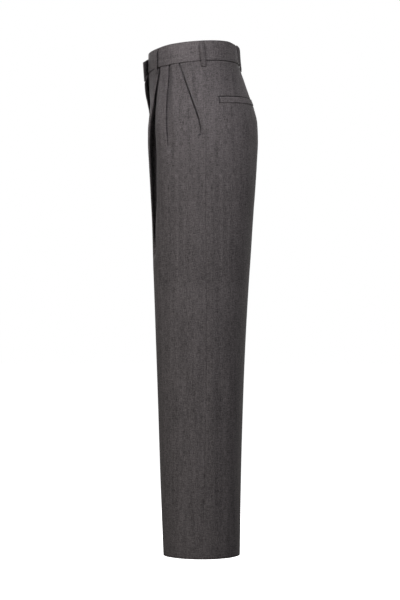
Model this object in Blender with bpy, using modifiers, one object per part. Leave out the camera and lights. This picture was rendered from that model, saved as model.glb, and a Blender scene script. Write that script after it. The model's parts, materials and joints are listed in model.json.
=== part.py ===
"""Pleated dress trousers, standing in the hollow shape they have when worn.

All the cloth is laid on one smooth body surface.  The surface is a stack of rings, one for each level
from the waist down to the hem.  A place on a ring is its distance round from the centre front, and a
piece of cloth may lie above or below the ring by an offset.  A pleat is a path that leaves the ring,
folds back under the front, turns again and comes out towards the side.

Metres, +Z up, -Y front, +X the wearer's left.  The origin is the middle of the waist, at half the
height of the waistband.
"""

import math

import bmesh
import bpy
import numpy as np

# ---------------------------------------------------------------- driving dimensions
CLOTH = 0.0012                # one layer of worsted
BAND_CLOTH = 0.0024           # waistband, two layers and its stiffener
LOOP_CLOTH = 0.0016           # belt loop, folded and pressed
SEAM_GAP = 0.0003             # between pieces that meet at a seam
LAYER_GAP = 0.0004            # between pieces that lie on each other

BAND_HEIGHT = 0.040
WAIST_TILT = 0.085            # the waist rises this much for each metre towards the back
TILT_ENDS = (-0.10, -0.26)    # levels between which the rings come level
CROTCH_LEVEL = -0.277
HEM_LEVEL = -1.0366

BAND_PROUD = BAND_CLOTH / 4   # how far the band's face stands off the panels' face
BAND_PARTS = 20
BAND_RISE = 0.0020            # the band's top edge is this much higher at the sides
BAND_RISE_FRONT = (-0.085, -0.045)   # the rise grows between these places behind the front
BAND_RISE_BACK = (0.070, 0.084)      # and goes again between these places before the back

LOOP_WIDTH = 0.010
LOOP_TOP = 0.0185
LOOP_BOTTOM = -0.0315
LOOP_STAND = 0.0036           # how far a belt loop arches off the band
LOOP_ARCH_POWER = 4           # a higher power keeps the arch flatter in the middle
LOOP_PARTS = 10
FRONT_LOOP_X = 0.0785
SIDE_LOOP_Y = (0.0160, 0.0207)   # at its top and its bottom
BACK_LOOP_TOP = 0.0225
BACK_LOOP_STAND = 0.0040      # at its left edge; the right edge lies on the band

WELT_LEVELS = (-0.1000, -0.1122)
WELT_ENDS = (0.043, 0.170)    # distance round, measured from the side seam
WELT_PARTS = 16
SLIT_END = -0.172             # bottom of the slant pocket's mouth
POCKET_UNDERLAP = 0.012       # how far the pocket facing runs in under the front
POCKET_RUN_ON = 0.019         # how far it runs on below the mouth's bottom
POCKET_CLEAR = 0.0015         # how far behind the mouth it begins to rise to the side seam
POCKET_FADE = 0.010           # the rise fades out over this much above the mouth's bottom

LAP_START = 0.045             # the right front and band begin to lift and droop this far from the middle
LAP_PARTS = 9
LAP_DROOP = 0.0180            # the unfastened lap hangs this much lower at its free edge
DROOP_END = -0.110
LAP_STEP_START = 0.015
LAP_FLARE_START = 0.012
UNDERLAP = 0.030              # the left band and the shield run this far in under the right side
UNDERLAP_START = 0.012
FACING_BOTTOM = -0.108
FACING_PARTS = 4
FACING_SETBACK = 0.001        # the fly facing stops this far inside the lap's free edge
SHIELD_BOTTOM = -0.118
SHIELD_PARTS = 6

CREASE_HEIGHT = 0.0018        # the pressed crease down the front of each leg
CREASE_REACH = 0.012
CREASE_LEVELS = (-0.33, -0.45)   # it grows to its full height between these levels
BACK_PARTS = 12

# ---------------------------------------------------------------- tables
# The body surface: a ring at each level, half an ellipse in front and half an ellipse behind.  The front
# and back middles are how far across a ring is deepest.  A square of 2 is a true ellipse, and a higher
# one has fuller corners.
RING_COLUMNS = (
    "level", "front", "back", "side", "front_middle", "back_middle", "front_square", "back_square",
)
RINGS = (
    (0.0200, -0.0958, 0.0905, 0.1270, 0.0000, 0.0000, 2.00, 2.20),
    (-0.0200, -0.0955, 0.0966, 0.1300, 0.0000, 0.0000, 2.00, 2.15),
    (-0.0600, -0.0938, 0.1090, 0.1430, 0.0100, 0.0020, 2.15, 2.10),
    (-0.0900, -0.0912, 0.1184, 0.1540, 0.0300, 0.0120, 2.40, 2.10),
    (-0.1200, -0.0932, 0.1280, 0.1635, 0.0500, 0.0300, 2.45, 2.10),
    (-0.1500, -0.0950, 0.1338, 0.1710, 0.0650, 0.0480, 2.35, 2.15),
    (-0.1800, -0.0948, 0.1345, 0.1755, 0.0740, 0.0630, 2.20, 2.15),
    (-0.2200, -0.0928, 0.1322, 0.1780, 0.0820, 0.0790, 2.10, 2.10),
    (-0.2770, -0.0897, 0.1283, 0.1785, 0.0897, 0.0897, 2.10, 2.10),
    (-0.3840, -0.0842, 0.1204, 0.1750, 0.0895, 0.0895, 2.05, 2.05),
    (-0.4670, -0.0806, 0.1143, 0.1715, 0.0890, 0.0890, 2.00, 2.00),
    (-0.5920, -0.0762, 0.1073, 0.1665, 0.0880, 0.0880, 2.00, 2.00),
    (-0.7160, -0.0720, 0.1021, 0.1610, 0.0868, 0.0868, 2.00, 2.00),
    (-0.8820, -0.0668, 0.0974, 0.1555, 0.0855, 0.0855, 2.00, 2.00),
    (-1.0366, -0.0608, 0.0953, 0.1520, 0.0850, 0.0850, 2.00, 2.00),
)

# The lines that the cloth is cut and folded to.  The crease is placed across, the others forward.
LINE_COLUMNS = ("level", "crease_x", "side_pleat_y", "pocket_y", "side_seam_y")
LINES = (
    (0.0200, 0.0830, -0.0527, -0.0420, -0.0115),
    (-0.0200, 0.0830, -0.0527, -0.0308, -0.0065),
    (-0.0560, 0.0815, -0.0541, -0.0200, 0.0005),
    (-0.0940, 0.0795, -0.0572, -0.0073, 0.0078),
    (-0.1250, 0.0800, -0.0580, 0.0038, 0.0120),
    (-0.1480, 0.0820, -0.0578, 0.0113, 0.0162),
    (-0.1720, 0.0840, -0.0562, 0.0145, 0.0225),
    (-0.1970, 0.0855, -0.0540, 0.0170, 0.0262),
    (-0.2900, 0.0862, -0.0510, 0.0170, 0.0247),
    (-0.5700, 0.0880, -0.0460, 0.0170, 0.0275),
    (-1.0366, 0.0850, -0.0330, 0.0130, 0.0192),
)

# A pleat: how deep it runs under the front, how far its mouth stands open, how thick the roll of its
# edge is, how much of its turn is left, and how far it takes to settle back on the body surface.
PLEAT_COLUMNS = ("level", "reach", "mouth", "roll", "turn", "settle")
FRONT_PLEAT = (
    (-0.0200, 0.0180, 0.0017, 0.0017, 1.0, 0.010),
    (-0.0400, 0.0180, 0.0040, 0.0020, 1.0, 0.016),
    (-0.0600, 0.0180, 0.0047, 0.0026, 1.0, 0.022),
    (-0.0850, 0.0190, 0.0060, 0.0034, 1.0, 0.034),
    (-0.1100, 0.0200, 0.0090, 0.0042, 1.0, 0.046),
    (-0.1400, 0.0220, 0.0140, 0.0044, 1.0, 0.066),
    (-0.1900, 0.0220, 0.0158, 0.0036, 1.0, 0.074),
    (-0.2500, 0.0200, 0.0150, 0.0026, 1.0, 0.076),
    (-0.3000, 0.0140, 0.0116, 0.0020, 1.0, 0.070),
    (-0.3350, 0.0080, 0.0068, 0.0020, 1.0, 0.056),
    (-0.3650, 0.0030, 0.0040, 0.0022, 0.6, 0.042),
    (-0.4200, 0.0030, 0.0040, 0.0022, 0.0, 0.030),
    (-1.0366, 0.0030, 0.0040, 0.0022, 0.0, 0.015),
)
SIDE_PLEAT = (
    (-0.0200, 0.0130, 0.0017, 0.0017, 1.0, 0.010),
    (-0.0700, 0.0130, 0.0032, 0.0018, 1.0, 0.014),
    (-0.1000, 0.0120, 0.0042, 0.0020, 1.0, 0.020),
    (-0.1500, 0.0080, 0.0036, 0.0019, 1.0, 0.024),
    (-0.1660, 0.0045, 0.0028, 0.0018, 1.0, 0.024),
    (-0.1780, 0.0020, 0.0020, 0.0016, 0.8, 0.022),
    (-0.1900, 0.0010, 0.0013, 0.0013, 0.4, 0.020),
    (-0.2020, 0.0008, 0.0010, 0.0010, 0.1, 0.018),
    (-0.2130, 0.0008, 0.0010, 0.0010, 0.0, 0.016),
    (-1.0366, 0.0008, 0.0010, 0.0010, 0.0, 0.010),
)
FRONT_REACH = 0.022           # the room kept for a pleat inside its fold
SIDE_REACH_SPARE = 0.004
SETTLE_SHARE = 0.94           # of the room up to the next pleat
# Parts of a pleat's path: the roll of its edge, each run under the front, its bottom, the settling.
FRONT_PLEAT_PARTS = (3, 2, 4, 4)
SIDE_PLEAT_PARTS = (3, 1, 3, 2)

# The fly lap on the right front: how far it runs over the left, and how far its edge stands out.
LAP_COLUMNS = ("level", "width", "step", "flare")
LAP = (
    (0.0200, 0.0230, 0.0034, 0.0092),
    (-0.0200, 0.0165, 0.0034, 0.0062),
    (-0.0450, 0.0165, 0.0034, 0.0050),
    (-0.0700, 0.0165, 0.0034, 0.0032),
    (-0.0850, 0.0165, 0.0034, 0.0026),
    (-0.1000, 0.0145, 0.0034, 0.0006),
    (-0.1130, 0.0105, 0.0034, 0.0000),
    (-0.1260, 0.0040, 0.0030, 0.0000),
    (-0.1330, 0.0000, 0.0022, 0.0000),
    (-0.1480, 0.0000, 0.0000, 0.0000),
    (-1.0366, 0.0000, 0.0000, 0.0000),
)

# Rows of the cloth panels: (level where the span ends, rows in it).
PANEL_TOP = -BAND_HEIGHT / 2 - SEAM_GAP
ROW_SPANS = (
    (SLIT_END, 11),
    (SLIT_END - 0.005, 1),
    (-0.213, 3),
    (-0.265, 3),
    (CROTCH_LEVEL, 2),
    (-0.295, 1),
    (-0.430, 5),
    (-0.520, 1),
    (HEM_LEVEL, 5),
)

WORSTED_GREY = (0.073, 0.066, 0.067)
COLLECTION = "pleated_dress_trousers"


# ---------------------------------------------------------------- helpers
def column(table, names, name, level):
    """Reads one column of a table at a level, along a smooth curve through its rows."""
    rows = sorted(table)
    levels = np.array([row[0] for row in rows])
    values = np.array([row[names.index(name)] for row in rows])
    steps = np.diff(levels)
    slopes = np.diff(values) / steps
    tangents = np.zeros(len(rows))
    for i in range(1, len(rows) - 1):
        if slopes[i - 1] * slopes[i] > 0:
            tangents[i] = 2 * slopes[i - 1] * slopes[i] / (slopes[i - 1] + slopes[i])
    tangents[0] = slopes[0]
    tangents[-1] = slopes[-1]
    i = int(np.clip(np.searchsorted(levels, level) - 1, 0, len(steps) - 1))
    t = float(np.clip((level - levels[i]) / steps[i], 0.0, 1.0))
    start = (1 + 2 * t) * (1 - t) ** 2 * values[i] + t * (1 - t) ** 2 * steps[i] * tangents[i]
    end = t * t * (3 - 2 * t) * values[i + 1] - t * t * (1 - t) * steps[i] * tangents[i + 1]
    return float(start + end)


def ease(value):
    """Goes from 0 to 1 with flat ends."""
    value = float(np.clip(value, 0.0, 1.0))
    return value * value * (3 - 2 * value)


def swing(value):
    """Goes from 0 to 1 with a flat start and a slope at its end."""
    value = float(np.clip(value, 0.0, 1.0))
    return value * value * (2 - value)


def spread(start, end, parts):
    """The ends of equal parts between two numbers, without the first end."""
    return [start + (end - start) * i / parts for i in range(1, parts + 1)]


# ---------------------------------------------------------------- the body surface
class Ring:
    """The left half of the body surface at one level, from the centre front to the centre back."""

    SAMPLES = 400
    SPARE_HALF = 0.6    # a little over half of the cloth
    SPARE_GAP = 0.7     # a little over half of the gap

    def __init__(self, level):
        self.level = level
        top, bottom = TILT_ENDS
        self.tilt = WAIST_TILT * (1 - ease((top - level) / (top - bottom)))
        size = {name: column(RINGS, RING_COLUMNS, name, level) for name in RING_COLUMNS[1:]}
        self.outline(size)
        self.front_edge = self.clear_of_middle(1)
        self.back_edge = self.clear_of_middle(-1)
        self.front_end = int(np.argmax(self.x))
        self.crease = self.at_x(self.line("crease_x"))
        self.side = self.at_y(self.line("side_seam_y"))

    def outline(self, size):
        centre = (size["front"] + size["back"]) / 2
        depth = (size["back"] - size["front"]) / 2
        angles = np.linspace(math.pi, 0, self.SAMPLES)
        half = {}
        for end in ("front", "back"):
            power = 2 / size[end + "_square"]
            across = np.sign(np.cos(angles)) * np.abs(np.cos(angles)) ** power
            forward = np.abs(np.sin(angles)) ** power
            middle = size[end + "_middle"]
            half[end] = (middle + (size["side"] - middle) * across, depth * forward)
        x = np.concatenate([half["front"][0], half["back"][0][::-1][1:]])
        y = np.concatenate([centre - half["front"][1], centre + half["back"][1][::-1][1:]])
        inside = np.nonzero(x > 0)[0]
        first, last = inside[0], inside[-1]
        if first > 0:
            first -= 1
            part = -x[first] / (x[first + 1] - x[first])
            y[first] += part * (y[first + 1] - y[first])
            x[first] = 0.0
        if last < len(x) - 1:
            last += 1
            part = -x[last] / (x[last - 1] - x[last])
            y[last] += part * (y[last - 1] - y[last])
            x[last] = 0.0
        self.x = x[first:last + 1]
        self.y = y[first:last + 1]
        steps = np.hypot(np.diff(self.x), np.diff(self.y))
        self.s = np.concatenate([[0.0], np.cumsum(steps)])
        self.length = float(self.s[-1])
        along_x = np.gradient(self.x, self.s)
        along_y = np.gradient(self.y, self.s)
        size_of = np.hypot(along_x, along_y)
        self.out_x = along_y / size_of
        self.out_y = -along_x / size_of

    def line(self, name):
        return column(LINES, LINE_COLUMNS, name, self.level)

    def clear_of_middle(self, way):
        """Where a panel may start, so that its thickness stays on its own side of the middle."""
        x = self.x[::way]
        out_x = self.out_x[::way]
        room = x - CLOTH * self.SPARE_HALF * np.abs(out_x) - SEAM_GAP * self.SPARE_GAP
        first = int(np.argmax(room > 0))
        s = self.s if way == 1 else self.length - self.s[::-1]
        edge = 0.0
        if first > 0:
            part = -room[first - 1] / (room[first] - room[first - 1])
            edge = s[first - 1] + part * (s[first] - s[first - 1])
        edge = max(edge, SEAM_GAP / 2)
        return edge if way == 1 else self.length - edge

    def at_x(self, x):
        """The place on the front half that is this far across."""
        return float(np.interp(x, self.x[:self.front_end + 1], self.s[:self.front_end + 1]))

    def at_y(self, y):
        """The place on the outer side that is this far forward or back."""
        foremost = int(np.argmin(self.y))
        rearmost = int(np.argmax(self.y))
        return float(np.interp(y, self.y[foremost:rearmost + 1], self.s[foremost:rearmost + 1]))

    def point(self, s, offset, drop=0.0):
        """A point on the ring, moved out by the offset.  Past either end it is on the other side."""
        mirror = 1.0
        if s < 0:
            s = -s
            mirror = -1.0
        elif s > self.length:
            s = 2 * self.length - s
            mirror = -1.0
        x = np.interp(s, self.s, self.x) + offset * np.interp(s, self.s, self.out_x)
        y = np.interp(s, self.s, self.y) + offset * np.interp(s, self.s, self.out_y)
        return (mirror * x, y, self.level + self.tilt * y - drop)


def panel_levels(bottom=HEM_LEVEL):
    """The levels of a panel's rows, from the waist seam down to the bottom."""
    levels = [PANEL_TOP]
    for end, rows in ROW_SPANS:
        levels += spread(levels[-1], end, rows)
    return [level for level in levels if level > bottom + SEAM_GAP] + [bottom]


# ---------------------------------------------------------------- paths round a ring
def walk(place, steps):
    """Follows straight and turning stretches from a place, heading for the side at first."""
    s, offset = place
    heading = 0.0
    path = []
    for length, turn, parts in steps:
        for _ in range(parts):
            heading += turn / parts / 2
            s += math.cos(heading) * length / parts
            offset += math.sin(heading) * length / parts
            heading += turn / parts / 2
            path.append((s, offset))
    return path


def pleat(table, level, place, limit, parts):
    """The path of a pleat that starts at the edge of its fold and settles before the limit."""
    reach, mouth, roll, turn, settle = (column(table, PLEAT_COLUMNS, name, level)
                                        for name in PLEAT_COLUMNS[1:])
    half_turn = math.pi * turn
    edge_parts, reach_parts, bottom_parts, settle_parts = parts
    path = walk(place, (
        (math.pi * roll / 2, -half_turn, edge_parts),
        (reach, 0.0, reach_parts),
        (math.pi * mouth / 2, half_turn, bottom_parts),
        (reach, 0.0, reach_parts),
    ))
    s, offset = path[-1]
    lift = place[1] - offset
    settle = min(settle, (limit - s) * SETTLE_SHARE)
    for part in spread(0.0, 1.0, settle_parts):
        path.append((s + settle * part, offset + lift * ease(part)))
    return path


def crease_ridge(level, distance):
    """The pressed crease stands a little proud of the leg below the pleat."""
    top, full = CREASE_LEVELS
    strength = ease((top - level) / (top - full))
    return CREASE_HEIGHT * strength * math.exp(-abs(distance) / CREASE_REACH)


def lap_lift(level, s):
    """How far the fly lap stands off the body surface."""
    width, step, flare = (column(LAP, LAP_COLUMNS, name, level) for name in LAP_COLUMNS[1:])
    lift = step * ease((LAP_STEP_START - s) / LAP_STEP_START)
    return lift + flare * swing((LAP_FLARE_START - s) / (LAP_FLARE_START + width))


def lap_drop(level, s):
    """How far the unfastened lap hangs down."""
    width = column(LAP, LAP_COLUMNS, "width", level)
    band_bottom = -BAND_HEIGHT / 2
    fade = 1 - ease((band_bottom - level) / (band_bottom - DROOP_END))
    return LAP_DROOP * fade * swing((LAP_START - s) / (LAP_START + width))


def lap_places(level, edge):
    """Places across the lap, from its free edge, or from the panel's own edge where it has no lap."""
    width = column(LAP, LAP_COLUMNS, "width", level)
    start = -width if width > 0 else edge
    return [start] + spread(start, LAP_START, LAP_PARTS)


def front_path(ring, lap):
    """One row of a front, from its centre or inside-leg edge to the pocket mouth or side seam."""
    level = ring.level
    places = lap_places(level, ring.front_edge) if lap else [ring.front_edge]
    places += spread(places[-1], ring.crease - FRONT_REACH, 2 if lap else 3)
    places += spread(ring.crease - FRONT_REACH, ring.crease, 2)
    path = [(s, crease_ridge(level, s - ring.crease)) for s in places]
    side_fold = ring.at_y(ring.line("side_pleat_y"))
    side_start = side_fold - column(SIDE_PLEAT, PLEAT_COLUMNS, "reach", level) - SIDE_REACH_SPARE
    path += pleat(FRONT_PLEAT, level, path[-1], side_start, FRONT_PLEAT_PARTS)
    path += [(s, 0.0) for s in [side_start] + spread(side_start, side_fold, 2)]
    mouth = ring.at_y(ring.line("pocket_y"))
    underlap = mouth - POCKET_UNDERLAP
    path += pleat(SIDE_PLEAT, level, path[-1], underlap, SIDE_PLEAT_PARTS)
    last = spread(underlap, mouth, 2) if level > SLIT_END - SEAM_GAP else [mouth, ring.side - SEAM_GAP / 2]
    path += [(s, 0.0) for s in [underlap] + last]
    return path


def lay(ring, path, cloth=CLOTH, lap=False):
    """Turns a path into points in the middle of a cloth whose outer face is on the ring."""
    points = []
    for s, offset in path:
        lift = lap_lift(ring.level, s) if lap else 0.0
        drop = lap_drop(ring.level, s) if lap else 0.0
        points.append(ring.point(s, offset + lift - cloth / 2, drop))
    return points


def band_rise(point):
    """How much higher the band's top edge is at this point than its level says."""
    share = 1.0
    for start, end, way in ((*BAND_RISE_FRONT, 0), (*BAND_RISE_BACK, 1)):
        share *= abs(way - ease((point[1] - start) / (end - start)))
    height = (point[2] - WAIST_TILT * point[1] + BAND_HEIGHT / 2) / BAND_HEIGHT
    return BAND_RISE * share * max(height, 0.0)


# ---------------------------------------------------------------- meshes and materials
def fabric(name, colour):
    """A wool worsted finish."""
    material = bpy.data.materials.new(name)
    material.use_nodes = True
    shader = material.node_tree.nodes["Principled BSDF"]
    shader.inputs["Base Color"].default_value = (*colour, 1.0)
    shader.inputs["Roughness"].default_value = 0.85
    shader.inputs["Metallic"].default_value = 0.0
    return material


def sew(name, rows, cloth, collection, mirrored=False):
    """Makes a wall of cloth through rows of points, and mirrors it for the right side."""
    row_parts = len(rows[0]) - 1
    level_parts = len(rows) - 1
    mesh = bpy.data.meshes.new(name)
    grid = bmesh.new()
    bmesh.ops.create_grid(grid, x_segments=row_parts, y_segments=level_parts, size=1.0)
    for vert in grid.verts:
        i = round((vert.co.x + 1) / 2 * row_parts)
        j = round((1 - vert.co.y) / 2 * level_parts)
        vert.co = rows[j][i]
        if mirrored:
            vert.co.x = -vert.co.x
    if mirrored:
        bmesh.ops.reverse_faces(grid, faces=grid.faces)
    for face in grid.faces:
        face.smooth = True
    grid.to_mesh(mesh)
    grid.free()
    mesh.materials.append(fabric(name + "_wool", WORSTED_GREY))
    piece = bpy.data.objects.new(name, mesh)
    collection.objects.link(piece)
    wall = piece.modifiers.new("Wall", "SOLIDIFY")
    wall.thickness = cloth
    wall.offset = 0.0
    return piece


# ---------------------------------------------------------------- the pieces
def make_front(side, collection):
    right = side == "right"
    rows = []
    for level in panel_levels():
        ring = Ring(level)
        rows.append(lay(ring, front_path(ring, right), lap=right))
    sew("front_" + side, rows, CLOTH, collection, right)


def make_back(side, collection):
    rows = []
    for level in panel_levels():
        ring = Ring(level)
        start = ring.side + SEAM_GAP / 2
        path = [(s, 0.0) for s in [start] + spread(start, ring.back_edge, BACK_PARTS)]
        rows.append(lay(ring, path))
    sew("back_" + side, rows, CLOTH, collection, side == "right")


def make_pocket_facing(side, collection):
    """The cloth between the pocket's mouth and the side seam, a layer lower at the mouth."""
    below = CLOTH + LAYER_GAP
    rows = []
    for level in panel_levels(SLIT_END - POCKET_RUN_ON):
        ring = Ring(level)
        mouth = ring.at_y(ring.line("pocket_y"))
        start = mouth - POCKET_UNDERLAP
        clear = mouth + POCKET_CLEAR
        end = ring.side - SEAM_GAP / 2
        open_part = ease((level - SLIT_END) / POCKET_FADE)
        path = []
        for s in [start] + spread(start, clear, 2) + spread(clear, end, 4):
            path.append((s, -below * (1 - open_part * ease((s - clear) / (end - clear)))))
        rows.append(lay(ring, path))
    sew("pocket_facing_" + side, rows, CLOTH, collection, side == "right")


def make_waistband(side, collection):
    """A half of the waistband.  The right one laps over the left one at the centre front."""
    right = side == "right"
    rows = []
    for level in [BAND_HEIGHT / 2] + spread(BAND_HEIGHT / 2, -BAND_HEIGHT / 2, 3):
        ring = Ring(level)
        places = lap_places(level, 0.0) if right else [-UNDERLAP] + spread(-UNDERLAP, LAP_START, LAP_PARTS)
        places += spread(LAP_START, ring.back_edge, BAND_PARTS)
        path = []
        for s in places:
            under = 0.0 if right else ease((UNDERLAP_START - s) / UNDERLAP_START)
            path.append((s, BAND_PROUD - under * (BAND_CLOTH + LAYER_GAP)))
        points = lay(ring, path, BAND_CLOTH, lap=right)
        rows.append([(x, y, z + band_rise((x, y, z))) for x, y, z in points])
    sew("waistband_" + side, rows, BAND_CLOTH, collection, right)


def make_fly_facing(collection):
    """The second layer under the lap, from its free edge to just inside the right front."""
    rows = []
    for level in panel_levels(FACING_BOTTOM):
        ring = Ring(level)
        places = lap_places(level, 0.0)[:FACING_PARTS + 1]
        places[0] += FACING_SETBACK
        rows.append(lay(ring, [(s, -CLOTH - LAYER_GAP) for s in places], lap=True))
    sew("fly_facing", rows, CLOTH, collection, True)


def make_fly_shield(collection):
    """The strip behind the opening, sewn to the left front and running in under the right."""
    below = 2 * (CLOTH + LAYER_GAP)
    rows = []
    for level in panel_levels(SHIELD_BOTTOM):
        ring = Ring(level)
        path = [(s, -below) for s in [-UNDERLAP] + spread(-UNDERLAP, UNDERLAP_START, SHIELD_PARTS)]
        rows.append(lay(ring, path))
    sew("fly_shield", rows, CLOTH, collection)


def make_welt(side, collection):
    """The narrow strip of the back pocket, lying on the back."""
    rows = []
    top, bottom = WELT_LEVELS
    for level in [top] + spread(top, bottom, 2):
        ring = Ring(level)
        start, end = (ring.side + distance for distance in WELT_ENDS)
        path = [(s, CLOTH + LAYER_GAP) for s in [start] + spread(start, end, WELT_PARTS)]
        rows.append(lay(ring, path))
    sew("welt_" + side, rows, CLOTH, collection, side == "right")


def loop_rows(place, stand, top=LOOP_TOP, twist=0.0):
    """Rows of a belt loop that arches off the band between its sewn ends.  A twist lays one edge down."""
    on_band = BAND_PROUD + LAYER_GAP + LOOP_CLOTH
    rows = []
    for part in [0.0] + spread(0.0, 1.0, LOOP_PARTS):
        level = top + (LOOP_BOTTOM - top) * part
        ring = Ring(level)
        arch = stand * (1 - (2 * part - 1) ** LOOP_ARCH_POWER)
        middle = place(ring, part)
        path = []
        for side in (-1, 0, 1):
            path.append((middle + side * LOOP_WIDTH / 2, on_band + arch * (1 - twist * (side + 1) / 2)))
        points = lay(ring, path, LOOP_CLOTH)
        rows.append([(x, y, z + band_rise((x, y, z))) for x, y, z in points])
    return rows


def make_belt_loops(collection):
    """Two loops in front, two behind the side seams and one at the centre back."""
    top, bottom = SIDE_LOOP_Y
    for side in ("left", "right"):
        right = side == "right"
        rows = loop_rows(lambda ring, part: ring.at_x(FRONT_LOOP_X), LOOP_STAND)
        sew("loop_front_" + side, rows, LOOP_CLOTH, collection, right)
        rows = loop_rows(lambda ring, part: ring.at_y(top + (bottom - top) * part), LOOP_STAND)
        sew("loop_side_" + side, rows, LOOP_CLOTH, collection, right)
    rows = loop_rows(lambda ring, part: ring.length, BACK_LOOP_STAND, BACK_LOOP_TOP, twist=1.0)
    sew("loop_back", rows, LOOP_CLOTH, collection)


def main():
    for old in list(bpy.data.objects):
        bpy.data.objects.remove(old, do_unlink=True)
    collection = bpy.data.collections.new(COLLECTION)
    bpy.context.scene.collection.children.link(collection)
    for side in ("left", "right"):
        make_front(side, collection)
        make_back(side, collection)
        make_pocket_facing(side, collection)
        make_waistband(side, collection)
        make_welt(side, collection)
    make_fly_facing(collection)
    make_fly_shield(collection)
    make_belt_loops(collection)


main()
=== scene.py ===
# %% [markdown]
# # Pleated dress trousers
# A pair of worsted trousers stands in the hollow shape it has when it is worn.  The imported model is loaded
# first as a fixed frame, and every piece of cloth below is laid on the same body surface as its solid.

# %% Load the frame
import json
import math

import bmesh
import bpy
import numpy as np
from mathutils import Matrix, Vector

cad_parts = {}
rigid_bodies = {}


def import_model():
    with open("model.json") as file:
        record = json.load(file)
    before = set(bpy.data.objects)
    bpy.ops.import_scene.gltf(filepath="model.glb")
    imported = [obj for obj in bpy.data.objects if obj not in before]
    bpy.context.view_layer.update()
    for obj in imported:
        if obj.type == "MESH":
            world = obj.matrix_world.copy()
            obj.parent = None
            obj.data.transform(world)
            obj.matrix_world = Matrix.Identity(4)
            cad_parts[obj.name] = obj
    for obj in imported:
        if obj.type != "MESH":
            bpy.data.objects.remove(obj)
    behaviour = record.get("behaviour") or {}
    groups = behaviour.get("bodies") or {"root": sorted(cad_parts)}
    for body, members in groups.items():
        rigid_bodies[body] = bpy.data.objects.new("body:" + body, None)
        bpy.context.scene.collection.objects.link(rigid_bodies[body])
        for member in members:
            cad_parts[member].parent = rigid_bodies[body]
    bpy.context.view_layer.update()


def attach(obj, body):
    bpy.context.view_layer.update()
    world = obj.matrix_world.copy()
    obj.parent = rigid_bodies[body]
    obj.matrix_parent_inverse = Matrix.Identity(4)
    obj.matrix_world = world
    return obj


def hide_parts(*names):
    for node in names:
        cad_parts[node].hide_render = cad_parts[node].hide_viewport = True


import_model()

# %% [markdown]
# ## Sizes of the cut
# A tailor works from a few lengths: how thick the cloth is, how high the band is, where the pleats and the
# pocket run.  They could be read off the solids, but named sizes are easier to follow and to change.

# %% Sizes in metres
CLOTH = 0.0007                # the shell that shows; the solid's wall is thicker, with the same outer face
LAYER = 0.0016                # from one layer of the solids to the next
BAND_CLOTH = 0.0024           # both layers of the band and its tape
LOOP_CLOTH = 0.0013
WELT_CLOTH = 0.0010

BAND_HEIGHT = 0.040
BAND_PROUD = BAND_CLOTH / 4
BAND_STEP = BAND_CLOTH + 0.0004      # how far in the underlap lies
LOOP_STEP = 0.0020                   # from the band to a sewn-down loop's outer face
BAND_RISE = 0.0020                   # the band stands higher between these places from front to back
BAND_RISE_FRONT = (-0.085, -0.045)
BAND_RISE_BACK = (0.070, 0.084)
WAIST_TILT = 0.085                   # the waist is higher at the back
TILT_ENDS = (-0.10, -0.26)
HEM_LEVEL = -1.0366
HEM_TURNING = 0.040
SEAM_TURNING = 0.012

LAP_START = 0.045             # places on a ring are measured from the centre front
LAP_DROOP = 0.0180
DROOP_END = -0.110
LAP_STEP_START = 0.015
LAP_FLARE_START = 0.012
UNDERLAP = 0.030
UNDERLAP_START = 0.012
FACING_BOTTOM = -0.108
SHIELD_BOTTOM = -0.118

SLIT_END = -0.172
POCKET_UNDERLAP = 0.012       # how far the side facing lies under the mouth
POCKET_RUN_ON = 0.019
POCKET_CLEAR = 0.0015
POCKET_FADE = 0.010
WELT_LEVELS = (-0.1000, -0.1122)
WELT_ENDS = (0.043, 0.170)

BEND_REACH = 0.0005           # a turned edge may reach this far past the end of a ring
TOUCH_LEVELS = (-0.284, -0.315)      # the legs touch above these
TOUCH_REACH = 0.024
CREASE_HEIGHT = 0.0018
CREASE_REACH = 0.012
CREASE_LEVELS = (-0.33, -0.45)
FRONT_REACH = 0.022
SIDE_REACH_SPARE = 0.004
SETTLE_SHARE = 0.94
print("outside leg:", round(BAND_HEIGHT / 2 - HEM_LEVEL, 3), "m")

# %% [markdown]
# ## The body surface
# Trousers hang on a body that is round at the waist and splits into two tubes.  A ring at each level
# gives that form: half an ellipse in front and half an ellipse behind.  The lines are where the cloth is
# folded or sewn, and the pleat tables say how deep and how open each fold is at each level.

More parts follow.
